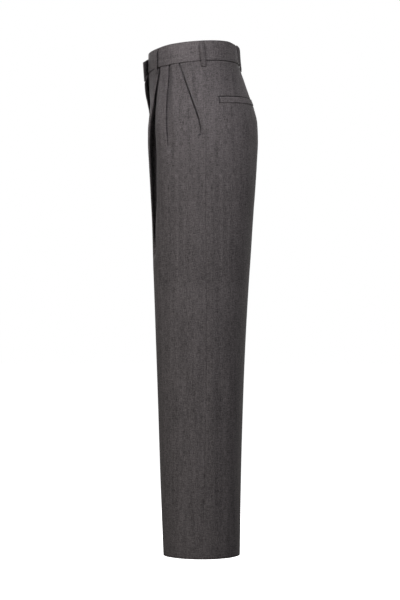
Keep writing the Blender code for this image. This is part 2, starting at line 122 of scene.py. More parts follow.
# %% Rings, lines and pleats
# front and back: how far the ring reaches in y.  side: in x.  middle: how far across the half ellipse has
# its middle, which moves out from the waist's to the leg's.  square: 2 is an ellipse, more is squarer.
RING_COLUMNS = (
    "level", "front", "back", "side", "front_middle", "back_middle", "front_square", "back_square",
)
RINGS = (
    (0.0200, -0.0958, 0.0905, 0.1270, 0.0000, 0.0000, 2.00, 2.20),
    (-0.0200, -0.0955, 0.0966, 0.1300, 0.0000, 0.0000, 2.00, 2.15),
    (-0.0600, -0.0938, 0.1090, 0.1430, 0.0100, 0.0020, 2.15, 2.10),
    (-0.0900, -0.0912, 0.1184, 0.1540, 0.0300, 0.0120, 2.40, 2.10),
    (-0.1200, -0.0932, 0.1280, 0.1635, 0.0500, 0.0300, 2.45, 2.10),
    (-0.1500, -0.0950, 0.1338, 0.1710, 0.0650, 0.0480, 2.35, 2.15),
    (-0.1800, -0.0948, 0.1345, 0.1755, 0.0740, 0.0630, 2.20, 2.15),
    (-0.2200, -0.0928, 0.1322, 0.1780, 0.0820, 0.0790, 2.10, 2.10),
    (-0.2770, -0.0897, 0.1283, 0.1785, 0.0897, 0.0897, 2.10, 2.10),
    (-0.3840, -0.0842, 0.1204, 0.1750, 0.0895, 0.0895, 2.05, 2.05),
    (-0.4670, -0.0806, 0.1143, 0.1715, 0.0890, 0.0890, 2.00, 2.00),
    (-0.5920, -0.0762, 0.1073, 0.1665, 0.0880, 0.0880, 2.00, 2.00),
    (-0.7160, -0.0720, 0.1021, 0.1610, 0.0868, 0.0868, 2.00, 2.00),
    (-0.8820, -0.0668, 0.0974, 0.1555, 0.0855, 0.0855, 2.00, 2.00),
    (-1.0366, -0.0608, 0.0953, 0.1520, 0.0850, 0.0850, 2.00, 2.00),
)
LINE_COLUMNS = ("level", "crease_x", "side_pleat_y", "pocket_y", "side_seam_y")
LINES = (
    (0.0200, 0.0830, -0.0527, -0.0420, -0.0115),
    (-0.0200, 0.0830, -0.0527, -0.0308, -0.0065),
    (-0.0560, 0.0815, -0.0541, -0.0200, 0.0005),
    (-0.0940, 0.0795, -0.0572, -0.0073, 0.0078),
    (-0.1250, 0.0800, -0.0580, 0.0030, 0.0120),
    (-0.1480, 0.0820, -0.0578, 0.0102, 0.0162),
    (-0.1720, 0.0840, -0.0562, 0.0139, 0.0225),
    (-0.1970, 0.0855, -0.0540, 0.0170, 0.0262),
    (-0.2900, 0.0862, -0.0510, 0.0170, 0.0247),
    (-0.5700, 0.0880, -0.0460, 0.0170, 0.0275),
    (-1.0366, 0.0850, -0.0330, 0.0130, 0.0192),
)
# reach: how deep the fold goes.  mouth: how open its bottom is.  roll: how thick its edge is.  turn: 1 is a
# whole fold and 0 none.  settle: in what distance the cloth comes back to the body surface.
PLEAT_COLUMNS = ("level", "reach", "mouth", "roll", "turn", "settle")
FRONT_PLEAT = (
    (-0.0200, 0.0180, 0.0017, 0.0017, 1.0, 0.010),
    (-0.0400, 0.0180, 0.0040, 0.0020, 1.0, 0.016),
    (-0.0600, 0.0180, 0.0047, 0.0026, 1.0, 0.022),
    (-0.0850, 0.0190, 0.0060, 0.0034, 1.0, 0.034),
    (-0.1100, 0.0200, 0.0090, 0.0042, 1.0, 0.046),
    (-0.1400, 0.0220, 0.0140, 0.0044, 1.0, 0.066),
    (-0.1900, 0.0220, 0.0158, 0.0036, 1.0, 0.074),
    (-0.2500, 0.0200, 0.0150, 0.0026, 1.0, 0.076),
    (-0.3000, 0.0150, 0.0130, 0.0020, 1.0, 0.072),
    (-0.3350, 0.0100, 0.0094, 0.0020, 1.0, 0.062),
    (-0.3650, 0.0060, 0.0066, 0.0022, 1.0, 0.052),
    (-0.3900, 0.0030, 0.0046, 0.0022, 0.7, 0.042),
    (-0.4300, 0.0030, 0.0040, 0.0022, 0.0, 0.030),
    (-1.0366, 0.0030, 0.0040, 0.0022, 0.0, 0.015),
)
SIDE_PLEAT = (
    (-0.0200, 0.0130, 0.0022, 0.0017, 1.0, 0.010),
    (-0.0400, 0.0130, 0.0042, 0.0018, 1.0, 0.014),
    (-0.0700, 0.0130, 0.0050, 0.0018, 1.0, 0.017),
    (-0.1000, 0.0120, 0.0054, 0.0020, 1.0, 0.021),
    (-0.1500, 0.0090, 0.0050, 0.0019, 1.0, 0.024),
    (-0.1720, 0.0060, 0.0044, 0.0018, 1.0, 0.025),
    (-0.1840, 0.0038, 0.0034, 0.0017, 1.0, 0.024),
    (-0.1930, 0.0020, 0.0022, 0.0015, 0.8, 0.022),
    (-0.2020, 0.0010, 0.0014, 0.0012, 0.4, 0.020),
    (-0.2090, 0.0008, 0.0010, 0.0010, 0.1, 0.018),
    (-0.2160, 0.0008, 0.0010, 0.0010, 0.0, 0.016),
    (-1.0366, 0.0008, 0.0010, 0.0010, 0.0, 0.010),
)
# width: past the centre front.  step: how far the lap stands off.  flare: how much more it does at its edge.
LAP_COLUMNS = ("level", "width", "step", "flare")
LAP = (
    (0.0200, 0.0230, 0.0034, 0.0092),
    (-0.0200, 0.0165, 0.0034, 0.0062),
    (-0.0450, 0.0165, 0.0034, 0.0050),
    (-0.0700, 0.0165, 0.0034, 0.0032),
    (-0.0850, 0.0165, 0.0034, 0.0026),
    (-0.1000, 0.0145, 0.0034, 0.0006),
    (-0.1130, 0.0105, 0.0034, 0.0000),
    (-0.1260, 0.0040, 0.0030, 0.0000),
    (-0.1330, 0.0000, 0.0022, 0.0000),
    (-0.1480, 0.0000, 0.0000, 0.0000),
    (-1.0366, 0.0000, 0.0000, 0.0000),
)
print("rings:", len(RINGS), "from", RINGS[0][0], "to", RINGS[-1][0])

# %% [markdown]
# A table has a row only where something changes.  Straight lines between the rows would show as
# kinks in the cloth, so each column is read along a smooth curve that never overshoots its rows.

# %% Read the tables smoothly
def column(table, names, name, level):
    """Reads one column of a table at a level, along a smooth curve through its rows."""
    rows = sorted(table)
    levels = np.array([row[0] for row in rows])
    values = np.array([row[names.index(name)] for row in rows])
    steps = np.diff(levels)
    slopes = np.diff(values) / steps
    tangents = np.zeros(len(rows))
    for i in range(1, len(rows) - 1):
        if slopes[i - 1] * slopes[i] > 0:
            tangents[i] = 2 * slopes[i - 1] * slopes[i] / (slopes[i - 1] + slopes[i])
    tangents[0] = slopes[0]
    tangents[-1] = slopes[-1]
    i = int(np.clip(np.searchsorted(levels, level) - 1, 0, len(steps) - 1))
    t = float(np.clip((level - levels[i]) / steps[i], 0.0, 1.0))
    start = (1 + 2 * t) * (1 - t) ** 2 * values[i] + t * (1 - t) ** 2 * steps[i] * tangents[i]
    end = t * t * (3 - 2 * t) * values[i + 1] - t * t * (1 - t) * steps[i] * tangents[i + 1]
    return float(start + end)


def ease(value):
    """Goes from 0 to 1 with flat ends."""
    value = np.clip(value, 0.0, 1.0)
    return value * value * (3 - 2 * value)


def swing(value):
    """Goes from 0 to 1 with a flat start and a slope at its end."""
    value = np.clip(value, 0.0, 1.0)
    return value * value * (2 - value)


def spread(start, end, parts):
    """The ends of equal parts between two numbers, without the first end."""
    return [start + (end - start) * i / parts for i in range(1, parts + 1)]


def along_row(stops, parts):
    """Places along a row.  Each stretch between two stops is cut into its own number of parts."""
    return [s for first, last, count in zip(stops, stops[1:], parts) for s in spread(first, last, count)]


print("waist", round(2 * column(RINGS, RING_COLUMNS, "side", 0.0), 3), "m across")

# %% [markdown]
# A place on a ring is the distance round from the centre front.  That is how a tailor measures too, and
# a seam, pleat or pocket then stays in place when the body's form is changed.

# %% One ring of the body
class Ring:
    """The left half of the body surface at one level, from the centre front to the centre back."""

    SAMPLES = 400

    def __init__(self, level):
        self.level = level
        top, bottom = TILT_ENDS
        self.tilt = WAIST_TILT * (1 - ease((top - level) / (top - bottom)))
        self.outline({name: column(RINGS, RING_COLUMNS, name, level) for name in RING_COLUMNS[1:]})
        self.front_end = int(np.argmax(self.x))
        self.crease = self.at_x(self.line("crease_x"))
        self.side = self.at_y(self.line("side_seam_y"))
        self.hind = float(self.s[int(np.argmax(self.y))])

    def outline(self, size):
        centre = (size["front"] + size["back"]) / 2
        depth = (size["back"] - size["front"]) / 2
        angles = np.linspace(math.pi, 0, self.SAMPLES)
        half = {}
        for end in ("front", "back"):
            power = 2 / size[end + "_square"]
            across = np.sign(np.cos(angles)) * np.abs(np.cos(angles)) ** power
            forward = np.abs(np.sin(angles)) ** power
            middle = size[end + "_middle"]
            half[end] = (middle + (size["side"] - middle) * across, depth * forward)
        x = np.concatenate([half["front"][0], half["back"][0][::-1][1:]])
        y = np.concatenate([centre - half["front"][1], centre + half["back"][1][::-1][1:]])
        ends = []
        inside = np.nonzero(x > 0)[0]
        for way, near in ((-1, inside[0]), (1, inside[-1])):
            end = near
            if 0 < near < len(x) - 1:
                end = near + way
                y[end] -= x[end] / (x[near] - x[end]) * (y[near] - y[end])
                x[end] = 0.0
            ends.append(end)
        self.x, self.y = (line[ends[0]:ends[1] + 1] for line in (x, y))
        steps = np.hypot(np.diff(self.x), np.diff(self.y))
        self.s = np.concatenate([[0.0], np.cumsum(steps)])
        self.length = float(self.s[-1])
        along_x = np.gradient(self.x, self.s)
        along_y = np.gradient(self.y, self.s)
        size_of = np.hypot(along_x, along_y)
        self.out_x = along_y / size_of
        self.out_y = -along_x / size_of

    def line(self, name):
        return column(LINES, LINE_COLUMNS, name, self.level)

    def at_x(self, x):
        """The place on the front half that is this far across."""
        return float(np.interp(x, self.x[:self.front_end + 1], self.s[:self.front_end + 1]))

    def at_y(self, y):
        """The place on the outer side that is this far forward or back."""
        foremost = int(np.argmin(self.y))
        rearmost = int(np.argmax(self.y))
        return float(np.interp(y, self.y[foremost:rearmost + 1], self.s[foremost:rearmost + 1]))

    def edge_at_middle(self, way, bend, room):
        """Where a turned edge may start, so that its bend just reaches the middle."""
        if self.x[0] > 0:
            return room - bend
        x = self.x[::way] - (bend + CLOTH / 2) * self.out_x[::way]
        s = self.s if way == 1 else self.length - self.s[::-1]
        first = int(np.argmax(x > room))
        edge = 0.0
        if first > 0:
            part = (room - x[first - 1]) / (x[first] - x[first - 1])
            edge = s[first - 1] + part * (s[first] - s[first - 1])
        return edge - bend

    def points(self, s, offset, drop=0.0):
        """Points on the ring, moved out by the offset.  Past either end they are on the other side."""
        s = np.asarray(s, float)
        past = s - np.clip(s, 0, self.length)
        past[np.abs(past) > BEND_REACH] = 0.0
        s = s - past
        mirror = np.where((s < 0) | (s > self.length), -1.0, 1.0)
        s = np.abs(s)
        s = np.where(s > self.length, 2 * self.length - s, s)
        x = mirror * (np.interp(s, self.s, self.x) + offset * np.interp(s, self.s, self.out_x))
        y = np.interp(s, self.s, self.y) + offset * np.interp(s, self.s, self.out_y)
        x -= past * np.interp(s, self.s, self.out_y)
        y += past * np.interp(s, self.s, self.out_x)
        z = self.level + self.tilt * y - drop
        return np.stack([x, y, z + np.zeros_like(x)], axis=-1)


print("half hip:", round(Ring(-0.22).length, 3), "m, half hem:", round(Ring(HEM_LEVEL).length / 2, 3), "m")

# %% [markdown]
# ## Soft creases
# Cloth that hangs from the hips falls in long shallow troughs and ridges, and a few drag lines run from
# the crotch and the seat.  A cloth simulation would make its own, each run in other places.  A short list
# places them instead: each is a line from a top to a bottom, with its own width and depth.

# %% Creases in a list
# side, top and bottom level, share at the top and at the bottom, width, depth
# share: how far round from the centre front (0) to the centre back (1)
CREASES = (
    ("left", -0.185, -0.440, 0.335, 0.352, 0.0100, -0.0011),
    ("left", -0.230, -0.720, 0.405, 0.395, 0.0130, -0.0008),
    ("left", -0.340, -0.960, 0.468, 0.452, 0.0110, 0.0008),
    ("left", -0.320, -1.180, 0.574, 0.600, 0.0120, -0.0010),
    ("left", -0.300, -1.230, 0.532, 0.556, 0.0092, 0.0016),
    ("left", -0.420, -1.030, 0.640, 0.655, 0.0130, 0.0010),
    ("left", -0.560, -1.030, 0.300, 0.280, 0.0120, -0.0009),
    ("left", -0.125, -0.330, 0.545, 0.620, 0.0150, -0.0014),
    ("left", -0.075, -0.165, 0.560, 0.505, 0.0090, -0.0006),
    ("left", -0.215, -0.330, 0.930, 0.740, 0.0100, -0.0022),
    ("left", -0.245, -0.400, 0.955, 0.790, 0.0110, -0.0018),
    ("left", -0.235, -0.330, 0.040, 0.130, 0.0080, -0.0016),
    ("left", -0.290, -0.760, 0.880, 0.860, 0.0170, -0.0016),
    ("left", -0.420, -0.980, 0.110, 0.120, 0.0150, -0.0013),
    ("right", -0.180, -0.470, 0.338, 0.346, 0.0110, -0.0012),
    ("right", -0.250, -0.690, 0.410, 0.425, 0.0120, -0.0009),
    ("right", -0.360, -0.900, 0.480, 0.462, 0.0120, 0.0009),
    ("right", -0.280, -0.860, 0.575, 0.560, 0.0150, -0.0012),
    ("right", -0.340, -1.200, 0.545, 0.535, 0.0100, 0.0013),
    ("right", -0.470, -1.030, 0.630, 0.670, 0.0140, 0.0009),
    ("right", -0.610, -1.030, 0.290, 0.305, 0.0130, -0.0010),
    ("right", -0.140, -0.310, 0.550, 0.600, 0.0140, -0.0012),
    ("right", -0.222, -0.350, 0.935, 0.760, 0.0110, -0.0020),
    ("right", -0.260, -0.420, 0.950, 0.800, 0.0100, -0.0019),
    ("right", -0.240, -0.340, 0.050, 0.150, 0.0080, -0.0015),
    ("right", -0.310, -0.800, 0.870, 0.885, 0.0160, -0.0015),
    ("right", -0.450, -1.000, 0.120, 0.105, 0.0160, -0.0012),
)
MIDDLE_CLEAR = 0.010      # creases fade out this near the centre and inside-leg seams
CREASE_SKEW = 0.8         # below 1, a crease is strongest above its middle
CREASE_FADE = 1.5         # above 1, its ends are long and faint


def creases(side, ring, s):
    """How far the creases move the cloth in or out at places on a ring."""
    total = np.zeros(np.shape(s))
    for kind, top, bottom, top_share, bottom_share, width, depth in CREASES:
        part = (top - ring.level) / (top - bottom)
        if kind != side or not 0 < part < 1:
            continue
        middle = ring.length * (top_share + (bottom_share - top_share) * part)
        strength = math.sin(math.pi * part ** CREASE_SKEW) ** CREASE_FADE
        total += depth * strength * np.exp(-((s - middle) / width) ** 2)
    return total * ease(np.minimum(s, ring.length - s) / MIDDLE_CLEAR)


print("creases on each side:", sum(row[0] == "left" for row in CREASES))

# %% [markdown]
# ## From rows of places to cloth
# Every piece below is first a list of rows.  The cloth's distances along and across those rows become
# its UV map, in metres, so that the weave runs along the grain as in a cut panel.  A projected map would
# be shorter to write, but it would smear the weave on every fold.


def measure(paths, levels):
    """Cloth distances across and along a panel, from its rows' paths and how far up each row is."""
    steps = [np.hypot(*np.diff(np.array(path), axis=0).T) for path in paths]
    across = np.array([np.concatenate([[0.0], np.cumsum(step)]) for step in steps])
    return across, np.repeat(np.array(levels)[:, None], len(paths[0]), axis=1)


def straight_grain(across, paths, rings, marks, grain_y):
    """How far the map moves at each face, so that its threads run straight down beside each fold.

    marks has a row for each stretch: its first face, and the place in it that is measured from grain_y.
    """
    shift = np.zeros((across.shape[0], across.shape[1] - 1))
    for first, anchor in marks:
        for j, (ring, path) in enumerate(zip(rings, paths)):
            shift[j, first:] = across[j, anchor] - (path[anchor][0] - ring.at_y(grain_y))
    return shift


# %% [markdown]
# A flat grid then has its points moved onto the rows.  Solidify gives it the thickness of the cloth, which
# keeps the mesh light and both faces parallel.  Thick pieces also get their edges rounded.

# %% Lay a grid of cloth
SHARP = 50      # degrees: only corners sharper than this are rounded


def add_object(name, data):
    """Puts a mesh, a lamp or a camera into the scene."""
    new = bpy.data.objects.new(name, data)
    bpy.context.scene.collection.objects.link(new)
    return new


def add_piece(name, shape, material):
    """Makes an object of a bmesh, and frees the bmesh."""
    mesh = bpy.data.meshes.new(name)
    shape.to_mesh(mesh)
    shape.free()
    mesh.materials.append(material)
    return add_object(name, mesh)


def lay_cloth(name, material, paths, rows, levels, thick=CLOTH, right=False, edge=0.0, cut=None, grain=None):
    """Moves a grid onto rows of points.

    paths and levels give its UV map.  edge is how far its edges are rounded.  cut marks the faces that are
    cut away, by row and column.  grain holds the rings, marks and grain_y that straight_grain needs.
    """
    across, along = measure(paths, levels)
    shift = straight_grain(across, paths, *grain) if grain else np.zeros(across.shape)
    points = np.stack(rows)
    lines, places = points.shape[:2]
    grid = bmesh.new()
    bmesh.ops.create_grid(grid, x_segments=places - 1, y_segments=lines - 1, size=1.0)
    warp = grid.loops.layers.uv.new("cloth")
    if right:
        points = points * np.array([-1.0, 1.0, 1.0])
        bmesh.ops.reverse_faces(grid, faces=grid.faces)
    spot = {}
    for vert in grid.verts:
        i = round((vert.co.x + 1) / 2 * (places - 1))
        j = round((1 - vert.co.y) / 2 * (lines - 1))
        spot[vert.index] = (j, i)
        vert.co = points[j, i]
    gone = []
    for face in grid.faces:
        face.smooth = True
        corners = [spot[loop.vert.index] for loop in face.loops]
        first_row, first_place = min(corners)
        for loop, (j, i) in zip(face.loops, corners):
            loop[warp].uv = (across[j, i] - shift[j, first_place], along[j, i])
        if cut is not None and cut[first_row, first_place]:
            gone.append(face)
    if gone:
        bmesh.ops.delete(grid, geom=gone, context="FACES")
    piece = add_piece(name, grid, material)
    wall = piece.modifiers.new("Wall", "SOLIDIFY")
    wall.thickness = thick
    wall.offset = 0.0
    if edge:
        soft = piece.modifiers.new("Soft edges", "BEVEL")
        soft.width = edge
        soft.segments = 2
        soft.profile = 0.5
        soft.limit_method = "ANGLE"
        soft.angle_limit = math.radians(SHARP)


# %% [markdown]
# ## The worsted
# The cloth is a mid grey worsted with a salt and pepper look: light and dark yarns lie side by side, a
# little uneven, with faint streaks along the warp.  An image would tile, so noise on the cloth's own UV
# map is used, stretched along the grain.  A few small helpers keep the node trees short.

# %% Helpers for materials
def new_material(name):
    material = bpy.data.materials.new(name)
    material.use_nodes = True
    return material, material.node_tree, material.node_tree.nodes["Principled BSDF"]


def fill(tree, node, inputs):
    """Sets a node's inputs.  An input that is given a socket is linked to it."""
    for name, value in inputs.items():
        if isinstance(value, bpy.types.NodeSocket):
            tree.links.new(value, node.inputs[name])
        else:
            node.inputs[name].default_value = value


def add_node(tree, kind, inputs, **settings):
    node = tree.nodes.new("ShaderNode" + kind)
    for name, value in settings.items():
        setattr(node, name, value)
    fill(tree, node, inputs)
    return node


def add_ramp(tree, factor, places, colours):
    """A ramp between two colours.  places says where on the ramp each is."""
    ramp = add_node(tree, "ValToRGB", {"Fac": factor})
    for element, place, colour in zip(ramp.color_ramp.elements, places, colours):
        element.position = place
        element.color = (*colour, 1.0)
    return ramp.outputs["Color"]


def shade(colour, strength):
    return tuple(strength * v for v in colour)


def noise(tree, uv, size, detail=1.0, offset=(0.0, 0.0, 0.0)):
    """A noise whose grains have this size in metres of cloth, across and along."""
    scale = (1 / size[0], 1 / size[1], 1.0)
    vector = add_node(tree, "Mapping", {"Scale": scale, "Location": offset, "Vector": uv}).outputs["Vector"]
    inputs = {"Scale": 1.0, "Detail": detail, "Vector": vector}
    return add_node(tree, "TexNoise", inputs, noise_dimensions="2D").outputs["Fac"]


def weighted(tree, parts, start=0.0):
    """Adds up sockets, each times its weight and measured from its middle."""
    total = None
    for socket, weight, middle in parts:
        base = -weight * middle + (start if total is None else 0.0)
        step = add_node(tree, "Math", {0: socket, 1: weight, 2: base}, operation="MULTIPLY_ADD").outputs[0]
        if total is not None:
            step = add_node(tree, "Math", {0: total, 1: step}, operation="ADD").outputs[0]
        total = step
    return total


# %% [markdown]
# The yarns are two fine noises, one long along the warp and one long along the weft, and a diagonal wave
# puts the one or the other on top, as a twill does.  Slower noises add flecks, thick yarns and streaks.
# The thread for the sewing is a plain dark twist.

# %% Materials
YARN_COLOURS = ((0.0270, 0.0245, 0.0243), (0.1190, 0.1079, 0.1072))      # dark and light
GRAINS = (      # size across and along in metres, detail, offset, weight
    ((0.0022, 0.0027), 1.0, (3.0, 29.0, 0.0), 0.85),                     # flecks
    ((0.0036, 0.024), 1.0, (5.0, 41.0, 0.0), 0.35),                      # thick warp yarns
    ((0.020, 0.0030), 1.0, (13.0, 19.0, 0.0), 0.35),                     # thick weft yarns
    ((0.0080, 0.130), 2.0, (11.0, 3.0, 0.0), 0.42),                      # streaks
    ((0.045, 0.080), 2.0, (7.0, 23.0, 0.0), 0.30),                       # cloudy patches
)
YARN_WEIGHT, TWILL_WEIGHT = 1.9, 0.10
TWILL_SCALE = 330.0
TWIST_SCALE = 900.0


def worsted(name, turned=False, lighter=1.0):
    """Grey worsted.  On a band or a welt the warp lies across the map, so the map is turned."""
    material, tree, shader = new_material(name)
    uv = add_node(tree, "UVMap", {}, uv_map="cloth").outputs["UV"]
    if turned:
        quarter = (0.0, 0.0, math.pi / 2)
        uv = add_node(tree, "Mapping", {"Rotation": quarter, "Vector": uv}).outputs["Vector"]
    warp = noise(tree, uv, (0.0007, 0.011))
    weft = noise(tree, uv, (0.009, 0.0007), 1.0, (31.0, 17.0, 0.0))
    twill = add_node(tree, "TexWave", {"Scale": TWILL_SCALE, "Vector": uv},
                     wave_type="BANDS", bands_direction="DIAGONAL").outputs["Fac"]
    yarns = add_node(tree, "Mix", {"Factor": twill, "A": weft, "B": warp}).outputs["Result"]
    grains = [(noise(tree, uv, size, detail, offset), weight, 0.5) for size, detail, offset, weight in GRAINS]
    mix = weighted(tree, [(yarns, YARN_WEIGHT, 0.5), *grains, (twill, TWILL_WEIGHT, 0.5)], 0.5)
    relief = weighted(tree, [(twill, 0.5, 0.0), (yarns, 0.9, 0.0)])
    bump = add_node(tree, "Bump", {"Strength": 0.4, "Distance": 0.0002, "Height": relief})
    fill(tree, shader, {
        "Base Color": add_ramp(tree, mix, (0.0, 1.0), [shade(colour, lighter) for colour in YARN_COLOURS]),
        "Normal": bump.outputs["Normal"],
        "Roughness": 0.85, "Specular IOR Level": 0.20, "Sheen Weight": 0.05, "Sheen Roughness": 0.45,
    })
    return material


def thread(name, colour):
    """Sewing thread, plain and dark."""
    material, tree, shader = new_material(name)
    place = tree.nodes.new("ShaderNodeTexCoord").outputs["Object"]
    twist = add_node(tree, "TexNoise", {"Scale": TWIST_SCALE, "Vector": place}).outputs["Fac"]
    strands = add_ramp(tree, twist, (0.3, 0.7), [shade(colour, 0.7), shade(colour, 1.3)])
    fill(tree, shader, {"Base Color": strands, "Roughness": 0.7})
    return material


WORSTED = worsted("worsted_panels")
WORSTED_BAND = worsted("worsted_band", turned=True, lighter=1.12)
WORSTED_TRIM = worsted("worsted_trim")
DARK_THREAD = thread("dark_thread", (0.020, 0.018, 0.019))
MATCHED_THREAD = thread("matched_thread", (0.055, 0.050, 0.051))
print("materials:", [m.name for m in (WORSTED, WORSTED_BAND, WORSTED_TRIM, DARK_THREAD, MATCHED_THREAD)])

# %% [markdown]
# ## Seams
# At a seam each panel's edge is turned under and pressed open, so from outside a seam is two soft bends
# that meet in a fine groove.  The turned edge is part of the panel here, as it is in the real cut, and
# it also closes the seam to the light.

# %% Turned edges
BEND = (CLOTH + 0.0002) / 2       # how tightly an edge turns
SEAM_ROOM = BEND + CLOTH / 2 - 0.00005      # from the bend's middle to the seam, a hair less, to touch
TURN_PARTS = 4
RUN_PARTS = 2
RUN_SHARE = 0.9                   # of the turning, in which the places of its flat part lie


def turned_edge(edge, way):
    """Places and offsets of a turned edge, from the cut edge inside to where the flat panel starts."""
    path = [(edge + way * SEAM_TURNING * (1 - RUN_SHARE * i / RUN_PARTS), -2 * BEND) for i in range(RUN_PARTS)]
    for i in range(TURN_PARTS + 1):
        angle = math.pi * i / TURN_PARTS
        path.append((edge + way * BEND * (1 - math.sin(angle)), -BEND * (1 + math.cos(angle))))
    return path


EDGE_PLACES = RUN_PARTS + TURN_PARTS + 1
print("a turned edge has", EDGE_PLACES, "places, from", turned_edge(0.0, 1)[0], "to", turned_edge(0.0, 1)[-1])

# %% [markdown]
# A panel goes up inside the band at the waist seam and turns up at the hem.  The same rows do both: each
# row has a level and how far in it lies.

# %% Levels of a panel's rows
WAIST_ROWS = (
    (-0.0090, -0.0034), (-0.0150, -0.0032), (-0.0180, -0.0026), (-0.0200, -0.0016), (-0.0215, -0.0008),
    (-0.0235, -0.0003),
)
WAIST_ROWS_END = -0.0260
HEM_TURN_PARTS = 4
HEM_RUN_PARTS = 6
FINE_STEP = 0.0032        # between rows above the thigh
LEG_STEP = 0.0056         # between rows down the leg
FINE_END = -0.300
SAME = 1e-6               # levels this close are the same


def panel_rows(hem=True, bottom=HEM_LEVEL):
    """Level and inset of each row, from inside the band to the turned hem."""
    rows = list(WAIST_ROWS)
    fine_bottom = max(bottom, FINE_END)
    marks = [WAIST_ROWS_END, fine_bottom]
    if fine_bottom < SLIT_END:
        marks.insert(1, SLIT_END)
    level = marks[0]
    rows.append((level, 0.0))
    for mark in marks[1:]:
        rows += [(v, 0.0) for v in spread(level, mark, max(1, round((level - mark) / FINE_STEP)))]
        level = mark
    if not hem:
        return rows
    turn_level = bottom + BEND + CLOTH / 2
    rows += [(v, 0.0) for v in spread(level, turn_level, round((level - turn_level) / LEG_STEP))]
    for i in range(1, HEM_TURN_PARTS + 1):
        angle = math.pi * i / HEM_TURN_PARTS
        rows.append((turn_level - BEND * math.sin(angle), -BEND * (1 - math.cos(angle))))
    rows += [(v, -LAYER) for v in spread(turn_level, turn_level + HEM_TURNING, HEM_RUN_PARTS)]
    return rows


PANEL_ROWS = panel_rows()
HEM_ROWS = HEM_TURN_PARTS + HEM_RUN_PARTS
RING_OF = {}


def ring_at(level):
    """Each ring is worked out once."""
    if level not in RING_OF:
        RING_OF[level] = Ring(level)
    return RING_OF[level]


print("rows in a panel:", len(PANEL_ROWS))

# %% [markdown]
# ## Pleats and the fly lap
# A pleat is cloth folded back on itself: it rolls over an edge, runs back under the front, turns at the
# bottom of the fold and comes out again.  Walking that path row by row gives a real fold with a real
# dark gap, where a groove pressed into a tube would only hint at one.

# %% The pleat's path
def walk(place, steps):
    """Follows straight and turning stretches from a place, heading for the side at first."""
    s, offset = place
    heading = 0.0
    path = []
    for length, turn, parts in steps:
        for _ in range(parts):
            heading += turn / parts / 2
            s += math.cos(heading) * length / parts
            offset += math.sin(heading) * length / parts
            heading += turn / parts / 2
            path.append((s, offset))
    return path


def pleat(table, level, place, limit, parts):
    """The path of a pleat that starts at the edge of its fold and settles before the limit."""
    reach, mouth, roll, turn, settle = (column(table, PLEAT_COLUMNS, name, level)
                                        for name in PLEAT_COLUMNS[1:])
    half_turn = math.pi * turn
    edge_parts, reach_parts, bottom_parts, settle_parts = parts
    path = walk(place, (
        (math.pi * roll / 2, -half_turn, edge_parts),
        (reach, 0.0, reach_parts),
        (math.pi * mouth / 2, half_turn, bottom_parts),
        (reach, 0.0, reach_parts),
    ))
    s, offset = path[-1]
    lift = place[1] - offset
    settle = min(settle, (limit - s) * SETTLE_SHARE)
    for part in spread(0.0, 1.0, settle_parts):
        path.append((s + settle * part, offset + lift * float(ease(part))))
    return path


def crease_ridge(level, distance):
    """The pressed crease stands a little proud of the leg."""
    top, full = CREASE_LEVELS
    return CREASE_HEIGHT * float(ease((top - level) / (top - full))) * np.exp(-np.abs(distance) / CREASE_REACH)


def lap_width(level):
    """How far the fly lap reaches past the centre front."""
    return column(LAP, LAP_COLUMNS, "width", level)


def lap_lift(level, s):
    """How far the fly lap stands off the body surface."""
    width, step, flare = (column(LAP, LAP_COLUMNS, name, level) for name in LAP_COLUMNS[1:])
    lift = step * ease((LAP_STEP_START - s) / LAP_STEP_START)
    return lift + flare * swing((LAP_FLARE_START - s) / (LAP_FLARE_START + width))


def lap_drop(level, s):
    """How far the unfastened lap hangs down."""
    band_bottom = -BAND_HEIGHT / 2
    fade = 1 - float(ease((band_bottom - level) / (band_bottom - DROOP_END)))
    return LAP_DROOP * fade * swing((LAP_START - s) / (LAP_START + lap_width(level)))


def crotch_touch(ring, s):
    """The legs press together right below the crotch, which closes the seam there."""
    first, last = TOUCH_LEVELS
    from_seam = np.minimum(np.abs(s), np.abs(ring.length - s))
    fade = 1 - ease((first - ring.level) / (first - last))
    return ring.x[0] * fade * np.exp(-(from_seam / TOUCH_REACH) ** 2)


def lay(side, ring, path, inset=0.0, cloth=CLOTH, lap=False, creased=True):
    """Points in the middle of a cloth whose outer face follows the path on the ring."""
    s, offset = np.array(path).T
    offset = offset + crotch_touch(ring, s)
    lift = lap_lift(ring.level, s) if lap else 0.0
    drop = lap_drop(ring.level, s) if lap else 0.0
    soft = creases(side, ring, s) if creased else 0.0
    return ring.points(s, offset + inset + lift + soft - cloth / 2, drop)


print("front pleat at the hip:", round(column(FRONT_PLEAT, PLEAT_COLUMNS, "mouth", -0.19) * 1000, 1), "mm open")

# %% [markdown]
# ## Fronts
# Each front is one panel with two pleats.  Above the end of the slant pocket its slanted edge is turned
# under, which makes the pocket's mouth.  The right front has the cut-on fly lap, which hangs open and
# droops a little, as nothing is fastened.  Its path runs from the centre over both pleats to the side.

# %% Fronts
LAP_PARTS = 18
FRONT_PARTS = (LAP_PARTS, 3, 8)      # over the lap, up to the pleat, over the pleat to the crease
SIDE_PARTS = (4, 9, 5)               # over the side pleat, over the facing, and behind or past the mouth
FRONT_PLEAT_PARTS = (8, 4, 9, 16)
SIDE_PLEAT_PARTS = (7, 3, 7, 8)
MOUTH_TOP = -0.015
MOUTH_LIFT = 0.0019       # the pocket's mouth stands off between its ends
MOUTH_STEP = 0.0004       # between the last places of its turned edge
MOUTH_SKEW = 1.25         # above 1, it is widest below its middle
MOUTH_FULLNESS = 0.45     # below 1, it opens soon after its ends
FRONT_GRAIN_Y = -0.030    # the threads of a front run straight down from here


